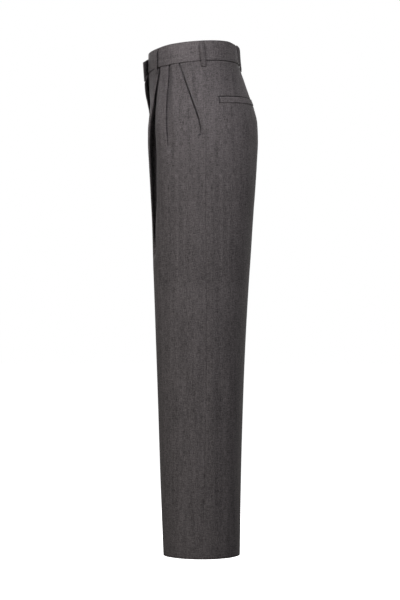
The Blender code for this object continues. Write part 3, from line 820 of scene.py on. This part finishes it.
def mouth_gape(level):
    """How open the pocket's mouth is, from 0 at its ends to 1."""
    part = float(np.clip((level - MOUTH_TOP) / (SLIT_END - MOUTH_TOP), 0.0, 1.0))
    return math.sin(math.pi * part ** MOUTH_SKEW) ** MOUTH_FULLNESS


def front_path(ring, right):
    """One row of a front from its centre edge to its side edge, and the numbers of its main places."""
    level = ring.level
    width = lap_width(level)
    edge = -width if right and width > 0 else ring.edge_at_middle(1, BEND, SEAM_ROOM)
    path = turned_edge(edge, 1)
    places = along_row([path[-1][0], LAP_START, ring.crease - FRONT_REACH, ring.crease], FRONT_PARTS)
    path += [(s, float(crease_ridge(level, s - ring.crease))) for s in places]
    marks = [(0, len(path) - 1)]
    side_fold = ring.at_y(ring.line("side_pleat_y"))
    side_start = side_fold - column(SIDE_PLEAT, PLEAT_COLUMNS, "reach", level) - SIDE_REACH_SPARE
    turn = len(path) + sum(FRONT_PLEAT_PARTS[:2]) + FRONT_PLEAT_PARTS[2] // 2
    path += pleat(FRONT_PLEAT, level, path[-1], side_start, FRONT_PLEAT_PARTS)
    marks.append((turn, len(path)))
    path += [(s, 0.0) for s in [side_start] + spread(side_start, side_fold, SIDE_PARTS[0])]
    mouth = ring.at_y(ring.line("pocket_y"))
    underlap = mouth - POCKET_UNDERLAP
    turn = len(path) + sum(SIDE_PLEAT_PARTS[:2]) + SIDE_PLEAT_PARTS[2] // 2
    path += pleat(SIDE_PLEAT, level, path[-1], underlap, SIDE_PLEAT_PARTS)
    marks.append((turn, len(path)))
    slit = level > SLIT_END - SAME

    def lifted(s):
        return MOUTH_LIFT * mouth_gape(level) * float(ease((s - underlap) / POCKET_UNDERLAP)) if slit else 0.0

    path += [(s, lifted(s)) for s in [underlap] + spread(underlap, mouth - BEND, SIDE_PARTS[1])]
    mouth_number = len(path) - 1
    if slit:
        turned = turned_edge(mouth, -1)[::-1]
        turned += [(turned[-1][0] - MOUTH_STEP * (i + 1), -2 * BEND) for i in range(SIDE_PARTS[2])]
        path += [(s, offset + lifted(s)) for s, offset in turned[1:]]
    else:
        far_edge = turned_edge(ring.side - SEAM_ROOM + BEND, -1)
        path += [(s, 0.0) for s in spread(mouth - BEND, far_edge[-1][0], SIDE_PARTS[2])] + far_edge[-2::-1]
    return path, marks, mouth_number


# %% [markdown]
# A front and a back are made in the same way, so one function makes both.  Where a turned edge would lie
# double, inside the band, the hem or the lap, its faces are cut away, as a tailor trims a bulky seam.

# %% Lay the fronts
HEM_CLEAR_ROWS = 7        # rows above the hem that have no turned edges


def make_panel(kind, side, levels, path_of, grain_y):
    """path_of(ring, right) gives a row's path, its marks for the grain and the place of a pocket's mouth."""
    right = side == "right"
    paths, rows, cuts = [], [], []
    rings = [ring_at(level) for level, _ in levels]
    for number, (ring, (level, inset)) in enumerate(zip(rings, levels)):
        path, marks, mouth = path_of(ring, right)
        has_mouth = mouth is not None
        paths.append(path)
        rows.append(lay(side, ring, path, inset, lap=right and has_mouth))
        in_hem = number >= len(levels) - HEM_ROWS - HEM_CLEAR_ROWS
        in_band = level > WAIST_ROWS_END
        in_lap = has_mouth and right and lap_width(level) > 0
        row_cut = np.zeros(len(path) - 1, bool)
        row_cut[:RUN_PARTS] = in_hem or in_band or in_lap
        row_cut[-RUN_PARTS:] = in_hem or (in_band and not has_mouth)
        if has_mouth and abs(level - SLIT_END) < SAME:
            row_cut[mouth:] = True
        cuts.append(row_cut)
    if kind == "back":      # its dart and slot are pressed in, so they don't count in the flat cut
        paths = [[(s, 0.0) for s, offset in path] for path in paths]
    lay_cloth(kind + "_" + side + "_cloth", WORSTED, paths, rows, [level for level, _ in levels],
              right=right, cut=np.array(cuts[:-1]), grain=(rings, marks, grain_y))


for side in ("left", "right"):
    make_panel("front", side, PANEL_ROWS, front_path, FRONT_GRAIN_Y)

# %% [markdown]
# ## Backs
# The back goes from the side seam over the seat to the centre back.  A dart takes in the waist: a short
# seam that ends in a small dimple.  The pocket's opening is a narrow trough right above its welt, so
# rows and places of the grid are set closer together there.

# %% Backs
DART_Y = (0.0560, 0.0690)      # at the waist seam and at its end
DART_END = -0.0600
DART_FADE = 0.012
DART_DEPTH, DART_HALF = 0.0005, 0.0010
DIMPLE_DEPTH, DIMPLE_HALF, DIMPLE_HIGH = 0.0012, 0.0022, 0.0030
WELT_SLOT = 0.0056             # how deep the pocket's opening goes in
WELT_SLOT_HALF = 0.0013
WELT_SLOT_ABOVE = 0.0006       # from the top of the welt to the middle of the slot
WELT_SLOT_END = 0.003
BACK_CREASE_HEIGHT = 0.0014
BACK_GRAIN_Y = 0.060
DART_NEAR = 0.004              # places are set closer together this near the dart
SEAT_SHARE = 0.82              # and from this share of the way round
BACK_PARTS = (16, 8, 10, 14)   # up to the dart, across it, over the seat, to the centre
SLOT_ROWS = [(round(-0.0955 - 0.0007 * i, 5), 0.0) for i in range(10)]
BACK_ROWS = sorted(set(PANEL_ROWS[:-HEM_ROWS] + SLOT_ROWS), key=lambda row: -row[0]) + PANEL_ROWS[-HEM_ROWS:]


def dart_place(ring):
    top, bottom = -BAND_HEIGHT / 2, DART_END
    part = float(np.clip((top - ring.level) / (top - bottom), 0.0, 1.0))
    return ring.at_y(DART_Y[0] + (DART_Y[1] - DART_Y[0]) * part)


def back_offset(ring, s):
    """The dart, the pocket's opening and the pressed crease of a back."""
    level = ring.level
    s = np.asarray(s, float)
    dart = dart_place(ring)
    fade = float(ease((level - DART_END) / DART_FADE))
    offset = -DART_DEPTH * fade * np.exp(-((s - dart) / DART_HALF) ** 2)
    offset -= DIMPLE_DEPTH * np.exp(-((s - dart) / DIMPLE_HALF) ** 2 - ((level - DART_END) / DIMPLE_HIGH) ** 2)
    first, last = (ring.side + distance for distance in WELT_ENDS)
    along_welt = ease((s - first) / WELT_SLOT_END - 0.5) * ease((last - s) / WELT_SLOT_END - 0.5)
    from_slot = (level - WELT_LEVELS[0] - WELT_SLOT_ABOVE) / WELT_SLOT_HALF
    offset -= WELT_SLOT * along_welt * math.exp(-from_slot ** 4)
    first, full = CREASE_LEVELS
    pressed = float(ease((first - level) / (first - full)))
    offset += BACK_CREASE_HEIGHT * pressed * np.exp(-np.abs(s - ring.hind) / CREASE_REACH)
    return offset


def back_path(ring, right):
    """One row of a back from its side edge to the centre.  The left and the right are alike."""
    start = turned_edge(ring.side + SEAM_ROOM - BEND, 1)
    end = turned_edge(ring.length - ring.edge_at_middle(-1, BEND, SEAM_ROOM), -1)
    dart = dart_place(ring)
    stops = [start[-1][0], dart - DART_NEAR, dart + DART_NEAR, ring.length * SEAT_SHARE, end[-1][0]]
    places = along_row(stops, BACK_PARTS)
    path = start + list(zip(places, back_offset(ring, places))) + end[-2::-1]
    return path, [(0, EDGE_PLACES + BACK_PARTS[0] - 1)], None


for side in ("left", "right"):
    make_panel("back", side, BACK_ROWS, back_path, BACK_GRAIN_Y)

# %% [markdown]
# ## Slant pockets
# Behind the pocket's mouth lies the side facing, one layer lower, that joins the back at the side seam.
# It could be painted on as a dark line, but a real step lets the mouth throw its own shadow.

# %% Side facings
FACING_HOLLOW = 0.0058        # how deep the dark slot right behind the mouth is
FACING_HOLLOW_HALF = 0.0028
FACING_NEAR = 0.0050          # places are set closer together this near the mouth
FACING_PARTS = (3, 16, 6)     # up to there, past the mouth, on to the side seam
HALF_SHARE, NEAR_SHARE = 0.5, 0.8     # the most that the slot and the close places take of the way there
LEAST_RISE = 0.001


def facing_path(ring):
    mouth = ring.at_y(ring.line("pocket_y"))
    start = mouth - POCKET_UNDERLAP
    clear = mouth + POCKET_CLEAR
    far_edge = turned_edge(ring.side - SEAM_ROOM + BEND, -1)
    end = far_edge[-1][0]
    open_part = float(ease((ring.level - SLIT_END) / POCKET_FADE))
    half = min(FACING_HOLLOW_HALF, (end - mouth) * HALF_SHARE)
    hollow = FACING_HOLLOW * mouth_gape(ring.level)

    def offset(s):
        rise = float(ease((s - clear) / max(end - clear, LEAST_RISE)))
        return -LAYER * (1 - open_part * rise) - hollow * math.exp(-((s - mouth) / half) ** 4)

    stops = [start, mouth - FACING_NEAR, mouth + min(FACING_NEAR, (end - mouth) * NEAR_SHARE), end]
    path = [(s, offset(s)) for s in [start] + along_row(stops, FACING_PARTS)]
    return path + [(s, depth + offset(s)) for s, depth in far_edge[-2::-1]]


def make_layer(name, side, bottom, path_of, material, marks=None, **how):
    """A layer of cloth that lies behind another, from inside the band down to its bottom."""
    levels = panel_rows(hem=False, bottom=bottom)
    rings = [ring_at(level) for level, _ in levels]
    paths = [path_of(ring) for ring in rings]
    rows = [lay(side, ring, path, inset, **how) for (_, inset), ring, path in zip(levels, rings, paths)]
    lay_cloth(name, material, paths, rows, [level for level, _ in levels], right=side == "right",
              grain=marks and (rings, marks, FRONT_GRAIN_Y))


for side in ("left", "right"):
    make_layer("pocket_facing_" + side + "_cloth", side, SLIT_END - POCKET_RUN_ON, facing_path, WORSTED,
               [(0, sum(FACING_PARTS[:2]) - 1)])

# %% [markdown]
# ## Waistband
# The band is cloth folded over a stiff tape, so it keeps a smooth round line.  The left half runs in
# under the right one at the centre front, and the right half ends in the open lap.

# %% Waistband
BAND_ROWS = 12
BAND_PARTS = 56
BAND_EDGE = 0.0008


def band_rise(points):
    """How much higher the band's top edge is than its level says."""
    x, y, z = points.T
    share = 1.0
    for start, end, way in ((*BAND_RISE_FRONT, 0), (*BAND_RISE_BACK, 1)):
        share = share * np.abs(way - ease((y - start) / (end - start)))
    height = (z - WAIST_TILT * y + BAND_HEIGHT / 2) / BAND_HEIGHT
    return BAND_RISE * share * np.clip(height, 0.0, None)


def band_path(ring, right):
    start = -lap_width(ring.level) if right else -UNDERLAP
    places = [start] + along_row([start, LAP_START, ring.length], (LAP_PARTS, BAND_PARTS))
    under = [0.0 if right else float(ease((UNDERLAP_START - s) / UNDERLAP_START)) for s in places]
    return [(s, BAND_PROUD - u * BAND_STEP) for s, u in zip(places, under)]


for side in ("left", "right"):
    levels = [BAND_HEIGHT / 2] + spread(BAND_HEIGHT / 2, -BAND_HEIGHT / 2, BAND_ROWS)
    paths = [band_path(ring_at(level), side == "right") for level in levels]
    rows = []
    for level, path in zip(levels, paths):
        points = lay(side, ring_at(level), path, cloth=BAND_CLOTH, lap=side == "right", creased=False)
        points[:, 2] += band_rise(points)
        rows.append(points)
    lay_cloth("waistband_" + side + "_cloth", WORSTED_BAND, paths, rows, levels, BAND_CLOTH, side == "right",
              edge=BAND_EDGE)

# %% [markdown]
# ## Fly facing and shield
# The lap has a second layer, and a shield closes the opening behind it.  Both are cut from the same
# cloth and lie a layer lower each.

# %% Fly facing and shield
FLY_FACING_PLACES = 8
FLY_FACING_EDGE = 0.0014      # the facing ends this far inside the lap's fold
FLY_FACING_DEPTH = -2 * BEND - 0.0002
SHIELD_PARTS = 12


def fly_facing_path(ring):
    width = lap_width(ring.level)
    places = spread(-width, LAP_START, LAP_PARTS)[:FLY_FACING_PLACES]
    return [(s, FLY_FACING_DEPTH) for s in [FLY_FACING_EDGE - width] + places]


def fly_shield_path(ring):
    return [(s, -2 * LAYER) for s in [-UNDERLAP] + spread(-UNDERLAP, UNDERLAP_START, SHIELD_PARTS)]


make_layer("fly_facing_cloth", "right", FACING_BOTTOM, fly_facing_path, WORSTED_TRIM, lap=True)
make_layer("fly_shield_cloth", "left", SHIELD_BOTTOM, fly_shield_path, WORSTED_TRIM, creased=False)

# %% [markdown]
# ## Back pocket welts
# A welt is a narrow strip folded over along its top edge and sewn down along its lower edge and both
# ends.  The fold turns back inside, so the strip's top is round and the opening above it stays dark.

# %% Welts
WELT_PARTS = 40
WELT_FOLD_PARTS = 6
WELT_DOWN_PARTS = 6
WELT_FOLD = WELT_CLOTH / 2 + 0.0001
WELT_TURNED = (0.0045, 0.0020)      # below the fold, rows of the part that turns back inside
TRIM_EDGE = 0.0003
for side in ("left", "right"):
    top, bottom = WELT_LEVELS
    fold = [(top - below, -2 * WELT_FOLD) for below in WELT_TURNED]
    fold += [(top - WELT_FOLD * (1 - math.sin(a)), -WELT_FOLD * (1 + math.cos(a)))
             for a in (math.pi * i / WELT_FOLD_PARTS for i in range(WELT_FOLD_PARTS + 1))]
    levels = fold + [(level, 0.0) for level in spread(fold[-1][0], bottom, WELT_DOWN_PARTS)]
    paths, rows = [], []
    for level, inset in levels:
        ring = ring_at(level)
        start, end = (ring.side + distance for distance in WELT_ENDS)
        path = [(s, LAYER + inset) for s in [start] + spread(start, end, WELT_PARTS)]
        paths.append(path)
        rows.append(lay(side, ring, path, cloth=WELT_CLOTH))
    lengths = np.cumsum([0.0] + [-math.hypot(b[0] - a[0], b[1] - a[1]) for a, b in zip(levels, levels[1:])])
    lay_cloth("welt_" + side + "_cloth", WORSTED_BAND, paths, rows, lengths, WELT_CLOTH, side == "right",
              edge=TRIM_EDGE)

# %% [markdown]
# ## Belt loops
# A loop is a narrow pressed strip that arches off the band between its sewn ends, with its lower end
# turned under.  The one at the centre back is sewn on a little askew, so that one edge lies on the band and
# the other stands off, most of all near its top.

# %% Belt loops
LOOP_WIDTH = 0.010
LOOP_TOP = 0.0185
LOOP_BOTTOM = -0.0315
LOOP_STAND = 0.0036
LOOP_FOLD = LOOP_CLOTH / 2 + 0.0001
FRONT_LOOP_X = 0.0815
SIDE_LOOP_Y = (0.0160, 0.0207)
BACK_LOOP_TOP = 0.0225
BACK_LOOP_STAND = 0.0036
BACK_LOOP_ASKEW = 0.008      # how far its top end is off the centre
BACK_LOOP_PLACE = 0.003      # and how far its lower end is
BACK_LOOP_SUNK = 0.0012
LOOP_TURNED = 0.004          # how much of its end is turned under
LOOP_ROWS = 28
LOOP_FOLD_PARTS = 5
LOOP_ACROSS = (-1.0, -0.92, -0.6, 0.0, 0.6, 0.92, 1.0)
LOOP_CROWN = (0.0005, 0.0002, 0.0, 0.0, 0.0, 0.0002, 0.0005)      # how much its long edges round off


def make_loop(name, place, stand, top=LOOP_TOP, edges=(1.0, 1.0), lean=0.0, power=4, sunk=0.0, right=False):
    """A strip down the band.  place(ring, part) gives its middle, for a part from 0 at its top to 1.

    edges: the share of the stand at the front and the back edge.  lean: how much more it stands at its
    top.  sunk: how far the front edge lies in towards the band.
    """
    on_band = BAND_PROUD + LOOP_STEP
    levels = [(top + (LOOP_BOTTOM - top) * part,
               stand * (1 - (2 * part - 1) ** power) * (1 + lean * (1 - 2 * part)), 0.0, part)
              for part in [0.0] + spread(0.0, 1.0, LOOP_ROWS)]
    for i in range(1, LOOP_FOLD_PARTS + 1):
        angle = math.pi * i / LOOP_FOLD_PARTS
        levels.append((LOOP_BOTTOM - LOOP_FOLD * math.sin(angle), 0.0, LOOP_FOLD * (1 - math.cos(angle)), 1.0))
    levels.append((LOOP_BOTTOM + LOOP_TURNED, 0.0, 2 * LOOP_FOLD, 1.0))
    paths, rows, lengths = [], [], [0.0]
    for level, arch, fold, part in levels:
        ring = ring_at(level)
        middle = place(ring, part)
        path = [(middle + way * LOOP_WIDTH / 2,
                 on_band - crown - fold - sunk * (1 - way) / 2
                 + arch * (edges[0] + (edges[1] - edges[0]) * (way + 1) / 2))
                for way, crown in zip(LOOP_ACROSS, LOOP_CROWN)]
        points = lay("left", ring, path, cloth=LOOP_CLOTH, creased=False)
        points[:, 2] += band_rise(points)
        if rows:
            lengths.append(lengths[-1] - float(np.linalg.norm(points[3] - rows[-1][3])))
        paths.append(path)
        rows.append(points)
    lay_cloth(name, WORSTED_TRIM, paths, rows, lengths, LOOP_CLOTH, right, edge=TRIM_EDGE)


for side in ("left", "right"):
    right = side == "right"
    make_loop("loop_front_" + side + "_cloth", lambda ring, part: ring.at_x(FRONT_LOOP_X), LOOP_STAND,
              right=right)
    top, bottom = SIDE_LOOP_Y
    make_loop("loop_side_" + side + "_cloth", lambda ring, part: ring.at_y(top + (bottom - top) * part),
              LOOP_STAND, edges=(1.5, 0.7), right=right)
make_loop("loop_back_cloth", lambda ring, part: ring.length - BACK_LOOP_PLACE - BACK_LOOP_ASKEW * (1 - part),
          BACK_LOOP_STAND, BACK_LOOP_TOP, edges=(0.1, 1.0), lean=0.55, power=8, sunk=BACK_LOOP_SUNK)

# %% [markdown]
# ## Sewing
# A tailor closes the ends of each pocket and the bottom of the fly with a bar tack, a short bar of close
# stitches, and sews the fly lap down along a line like a J.  Each stitch here is one small long bead, laid
# on the cloth by its level and its place on the ring, like the panels.

# %% Stitches
ALONG = 0.02         # share of the line on either side of a stitch that gives its direction
OUTWARD = 0.001


def stitches(name, side, line, count, size, material, lap=False, across=False):
    """Lays stitches on a line.  line(part) gives level, place and offset, for a part from 0 to 1."""
    length, width = size
    beads = bmesh.new()

    def spot(part, rise=0.0, aside=0.0):
        level, s, offset = line(part)
        x, y, z = lay(side, ring_at(round(level, 5)), [(s + aside, offset + rise)], cloth=0.0, lap=lap)[0]
        return np.array([-x if side == "right" else x, y, z])

    for i in range(count):
        part = (i + 0.5) / count
        centre = spot(part)
        out = spot(part, rise=OUTWARD) - centre
        out /= np.linalg.norm(out)
        way = spot(min(part + ALONG, 1.0)) - spot(max(part - ALONG, 0.0))
        if across:
            way = np.cross(out, way)
        way -= out * way.dot(out)
        way /= np.linalg.norm(way)
        beside = np.cross(out, way)
        axes = (way * length / 2, beside * width / 2, out * width / 2, centre)
        turn = Matrix([[axis[r] for axis in axes] for r in range(3)] + [[0, 0, 0, 1]])
        bmesh.ops.create_uvsphere(beads, u_segments=6, v_segments=4, radius=1.0, matrix=turn)
    for face in beads.faces:
        face.smooth = True
    piece = add_piece(name, beads, material)
    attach(piece, "root")


# %% [markdown]
# The tacks go across the ends of the welts and the slant pockets.  The J runs down beside the opening and
# curves in to the centre seam, where a last tack holds the fly.

# %% Tacks and the J
TACK_INSET = 0.0004                # from a welt's end to the middle of its tack
TACK_HIGH = 0.0003                 # how far the middle of a tack is off the cloth
J_HIGH = 0.0002
WELT_TACK_ABOVE = 0.0012           # how far above the welt it starts
WELT_TACK_LONGER = 0.0016          # than the welt is high
WELT_TACK = (0.0022, 0.0006)       # length and width of a stitch
POCKET_TACK = (0.0028, 0.0010)
FLY_TACK = (0.0034, 0.0007)
# size of the beads of the small dark mark at the dart's end
DART_MARK = (0.0024, 0.0014)
J_STITCH = (0.0019, 0.0004)
J_TOP, J_BEND, J_DROP = -0.024, -0.118, 0.022
J_PLACE, J_TURN = 0.034, 0.030     # from the centre, and how much of that the curve takes
CURVE_SHARE = 0.18                 # the curve's length, to one of the straight line


def straight(level, place, rise=0.0, along=0.0):
    """A straight line of stitches from a place, which rises so far and goes so far along the ring."""
    return lambda part: (level + rise * part, place + along * part, TACK_HIGH)


for side in ("left", "right"):
    top, bottom = WELT_LEVELS
    for end, distance in zip(("front", "back"), WELT_ENDS):
        inward = TACK_INSET if end == "front" else -TACK_INSET
        stitches("tack_welt_" + end + "_" + side, side,
                 lambda part: (top + WELT_TACK_ABOVE + (bottom - top - WELT_TACK_LONGER) * part,
                               ring_at(round(top + (bottom - top) * part, 5)).side + distance + inward,
                               LAYER),
                 30, WELT_TACK, DARK_THREAD, across=True)
    pocket_end = ring_at(SLIT_END).at_y(ring_at(SLIT_END).line("pocket_y"))
    stitches("tack_pocket_" + side, side, straight(SLIT_END - 0.0040, pocket_end - 0.0040, 0.0010, 0.0060),
             14, POCKET_TACK, DARK_THREAD, across=True)


def fly_line(part):
    """The line of the J: down beside the opening, then round to the centre seam."""
    depth = part * (1 + CURVE_SHARE)
    if depth < 1.0:
        return J_TOP + (J_BEND - J_TOP) * depth, J_PLACE, J_HIGH
    angle = (depth - 1.0) / CURVE_SHARE * math.pi / 2
    return J_BEND - J_DROP * math.sin(angle), J_PLACE - J_TURN * (1 - math.cos(angle)), J_HIGH


stitches("stitching_fly", "right", fly_line, 56, J_STITCH, MATCHED_THREAD, lap=True)
stitches("tack_fly", "right", straight(-0.1335, 0.0030, rise=-0.006),
         12, FLY_TACK, MATCHED_THREAD, lap=True, across=True)
# a small dark mark at the end of the left dart, made of beads in the dark thread
stitches("knot_dart", "left", straight(DART_END - 0.0004, dart_place(ring_at(DART_END)) - 0.0022, along=0.0044),
         5, DART_MARK, DARK_THREAD)

# %% Ride and replace
cloths = [o for o in bpy.context.scene.objects if o.name.endswith("_cloth")]
for piece in cloths:
    node = piece.name[:-len("_cloth")]
    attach(piece, "root")
    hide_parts(node)
print("cloth pieces:", len(cloths))

# %% [markdown]
# ## Light
# The light is soft and comes from above, most of it from in front of the wearer's left side.  Two low lamps
# keep the legs clear at the front and the back, and two more light the side that is turned away.  Wide
# disks give soft shadows.  One narrow spot with a soft edge lifts the hips, where the cloth bulges most.

# %% Lights
# azimuth is measured from the wearer's left (0) to the back (90) or to the front (-90)
LAMPS = (       # name, azimuth, distance, height, height of the aim, size, power, colour
    ("key", 18, 1.9, 1.20, -0.10, 1.0, 43.5, (0.97, 0.95, 1.0)),
    ("front", -26, 1.9, 1.15, -0.10, 1.0, 21.0, (0.97, 0.95, 1.0)),
    ("front_low", -40, 1.9, -0.60, -0.57, 1.0, 12.4, (1.0, 0.965, 0.918)),
    ("back_low", 130, 1.9, -0.56, -0.68, 1.0, 10.4, (1.0, 0.97, 0.93)),
    ("far", 172, 1.9, 0.50, -0.30, 1.2, 16.0, (1.0, 0.98, 0.98)),
    ("far_front", -152, 1.9, 0.30, -0.32, 1.2, 14.0, (1.0, 0.98, 0.98)),
)
HIP_SPOT = (-32, 1.9, 0.50, -0.075, 42.0, (0.95, 0.92, 1.0))      # as a lamp, without a name and a size
HIP_SPOT_CONE = 13                                                # degrees, with a soft edge all the way in
HIP_SPOT_SIZE = 0.15


def place_lamp(lamp, azimuth, distance, height, aim, power, colour):
    lamp.energy = power
    lamp.color = colour
    light = add_object(lamp.name, lamp)
    turn = math.radians(azimuth)
    light.location = (distance * math.cos(turn), distance * math.sin(turn), height)
    light.rotation_euler = (Vector((0.0, 0.0, aim)) - light.location).to_track_quat("-Z", "Y").to_euler()


for name, azimuth, distance, height, aim, size, power, colour in LAMPS:
    lamp = bpy.data.lights.new(name, "AREA")
    lamp.shape = "DISK"
    lamp.size = size
    place_lamp(lamp, azimuth, distance, height, aim, power, colour)
spot = bpy.data.lights.new("hips", "SPOT")
spot.spot_size = math.radians(HIP_SPOT_CONE)
spot.spot_blend = 1.0
spot.shadow_soft_size = HIP_SPOT_SIZE
place_lamp(spot, *HIP_SPOT)
print("lamps:", [row[0] for row in LAMPS], "and", spot.name)

# %% [markdown]
# ## Floor and backdrop
# The floor is a pale sheet well below the hems, lit by itself, so that no coloured light comes back from
# it.  The world is white where the camera looks and nearly dark for the cloth, which keeps the shading
# to the lamps.

# %% Floor and backdrop
WHITE = (1.0, 1.0, 1.0, 1.0)
FLOOR_LEVEL = HEM_LEVEL - 0.16
FLOOR_HALF = 14.0
AMBIENT = 0.03
paint, tree, shader = new_material("pale_floor")
fill(tree, shader, {
    "Base Color": (0.9, 0.9, 0.9, 1.0), "Roughness": 0.9, "Specular IOR Level": 0.0,
    "Emission Color": WHITE, "Emission Strength": 1.0,
})
sheet = bmesh.new()
bmesh.ops.create_grid(sheet, x_segments=1, y_segments=1, size=FLOOR_HALF)
bmesh.ops.translate(sheet, verts=sheet.verts, vec=(0.0, 0.0, FLOOR_LEVEL))
floor = add_piece("floor", sheet, paint)
floor.visible_diffuse = False
floor.visible_glossy = False

world = bpy.data.worlds.new("studio")
bpy.context.scene.world = world
world.use_nodes = True
tree = world.node_tree
dim = tree.nodes["Background"]
fill(tree, dim, {"Color": WHITE, "Strength": AMBIENT})
bright = add_node(tree, "Background", {"Color": WHITE, "Strength": 1.0})
seen = tree.nodes.new("ShaderNodeLightPath")
to_camera = seen.outputs["Is Camera Ray"]
blend = add_node(tree, "MixShader", {"Fac": to_camera, 1: dim.outputs[0], 2: bright.outputs[0]})
fill(tree, tree.nodes["World Output"], {"Surface": blend.outputs[0]})
bpy.context.scene.view_settings.view_transform = "Standard"
print("floor at", round(FLOOR_LEVEL, 3), "m")

# %% [markdown]
# ## Camera
# The camera looks straight at the wearer's left side from well away, with a long lens, so that the garment
# is drawn almost without perspective, as in a shop's picture.

# %% Camera
CAMERA_DISTANCE = 3.47
CAMERA_Y = 0.0135
CAMERA_Z = -0.5086
LENS = 97.92              # in millimetres, for a sensor 36 mm wide
eye = bpy.data.cameras.new("camera")
eye.sensor_fit = "AUTO"
eye.sensor_width = 36.0
eye.lens = LENS
camera = add_object("camera", eye)
camera.location = (CAMERA_DISTANCE, CAMERA_Y, CAMERA_Z)
camera.rotation_euler = (math.pi / 2, 0.0, math.pi / 2)
bpy.context.scene.camera = camera
print("camera at", tuple(round(v, 3) for v in camera.location), "lens", eye.lens)
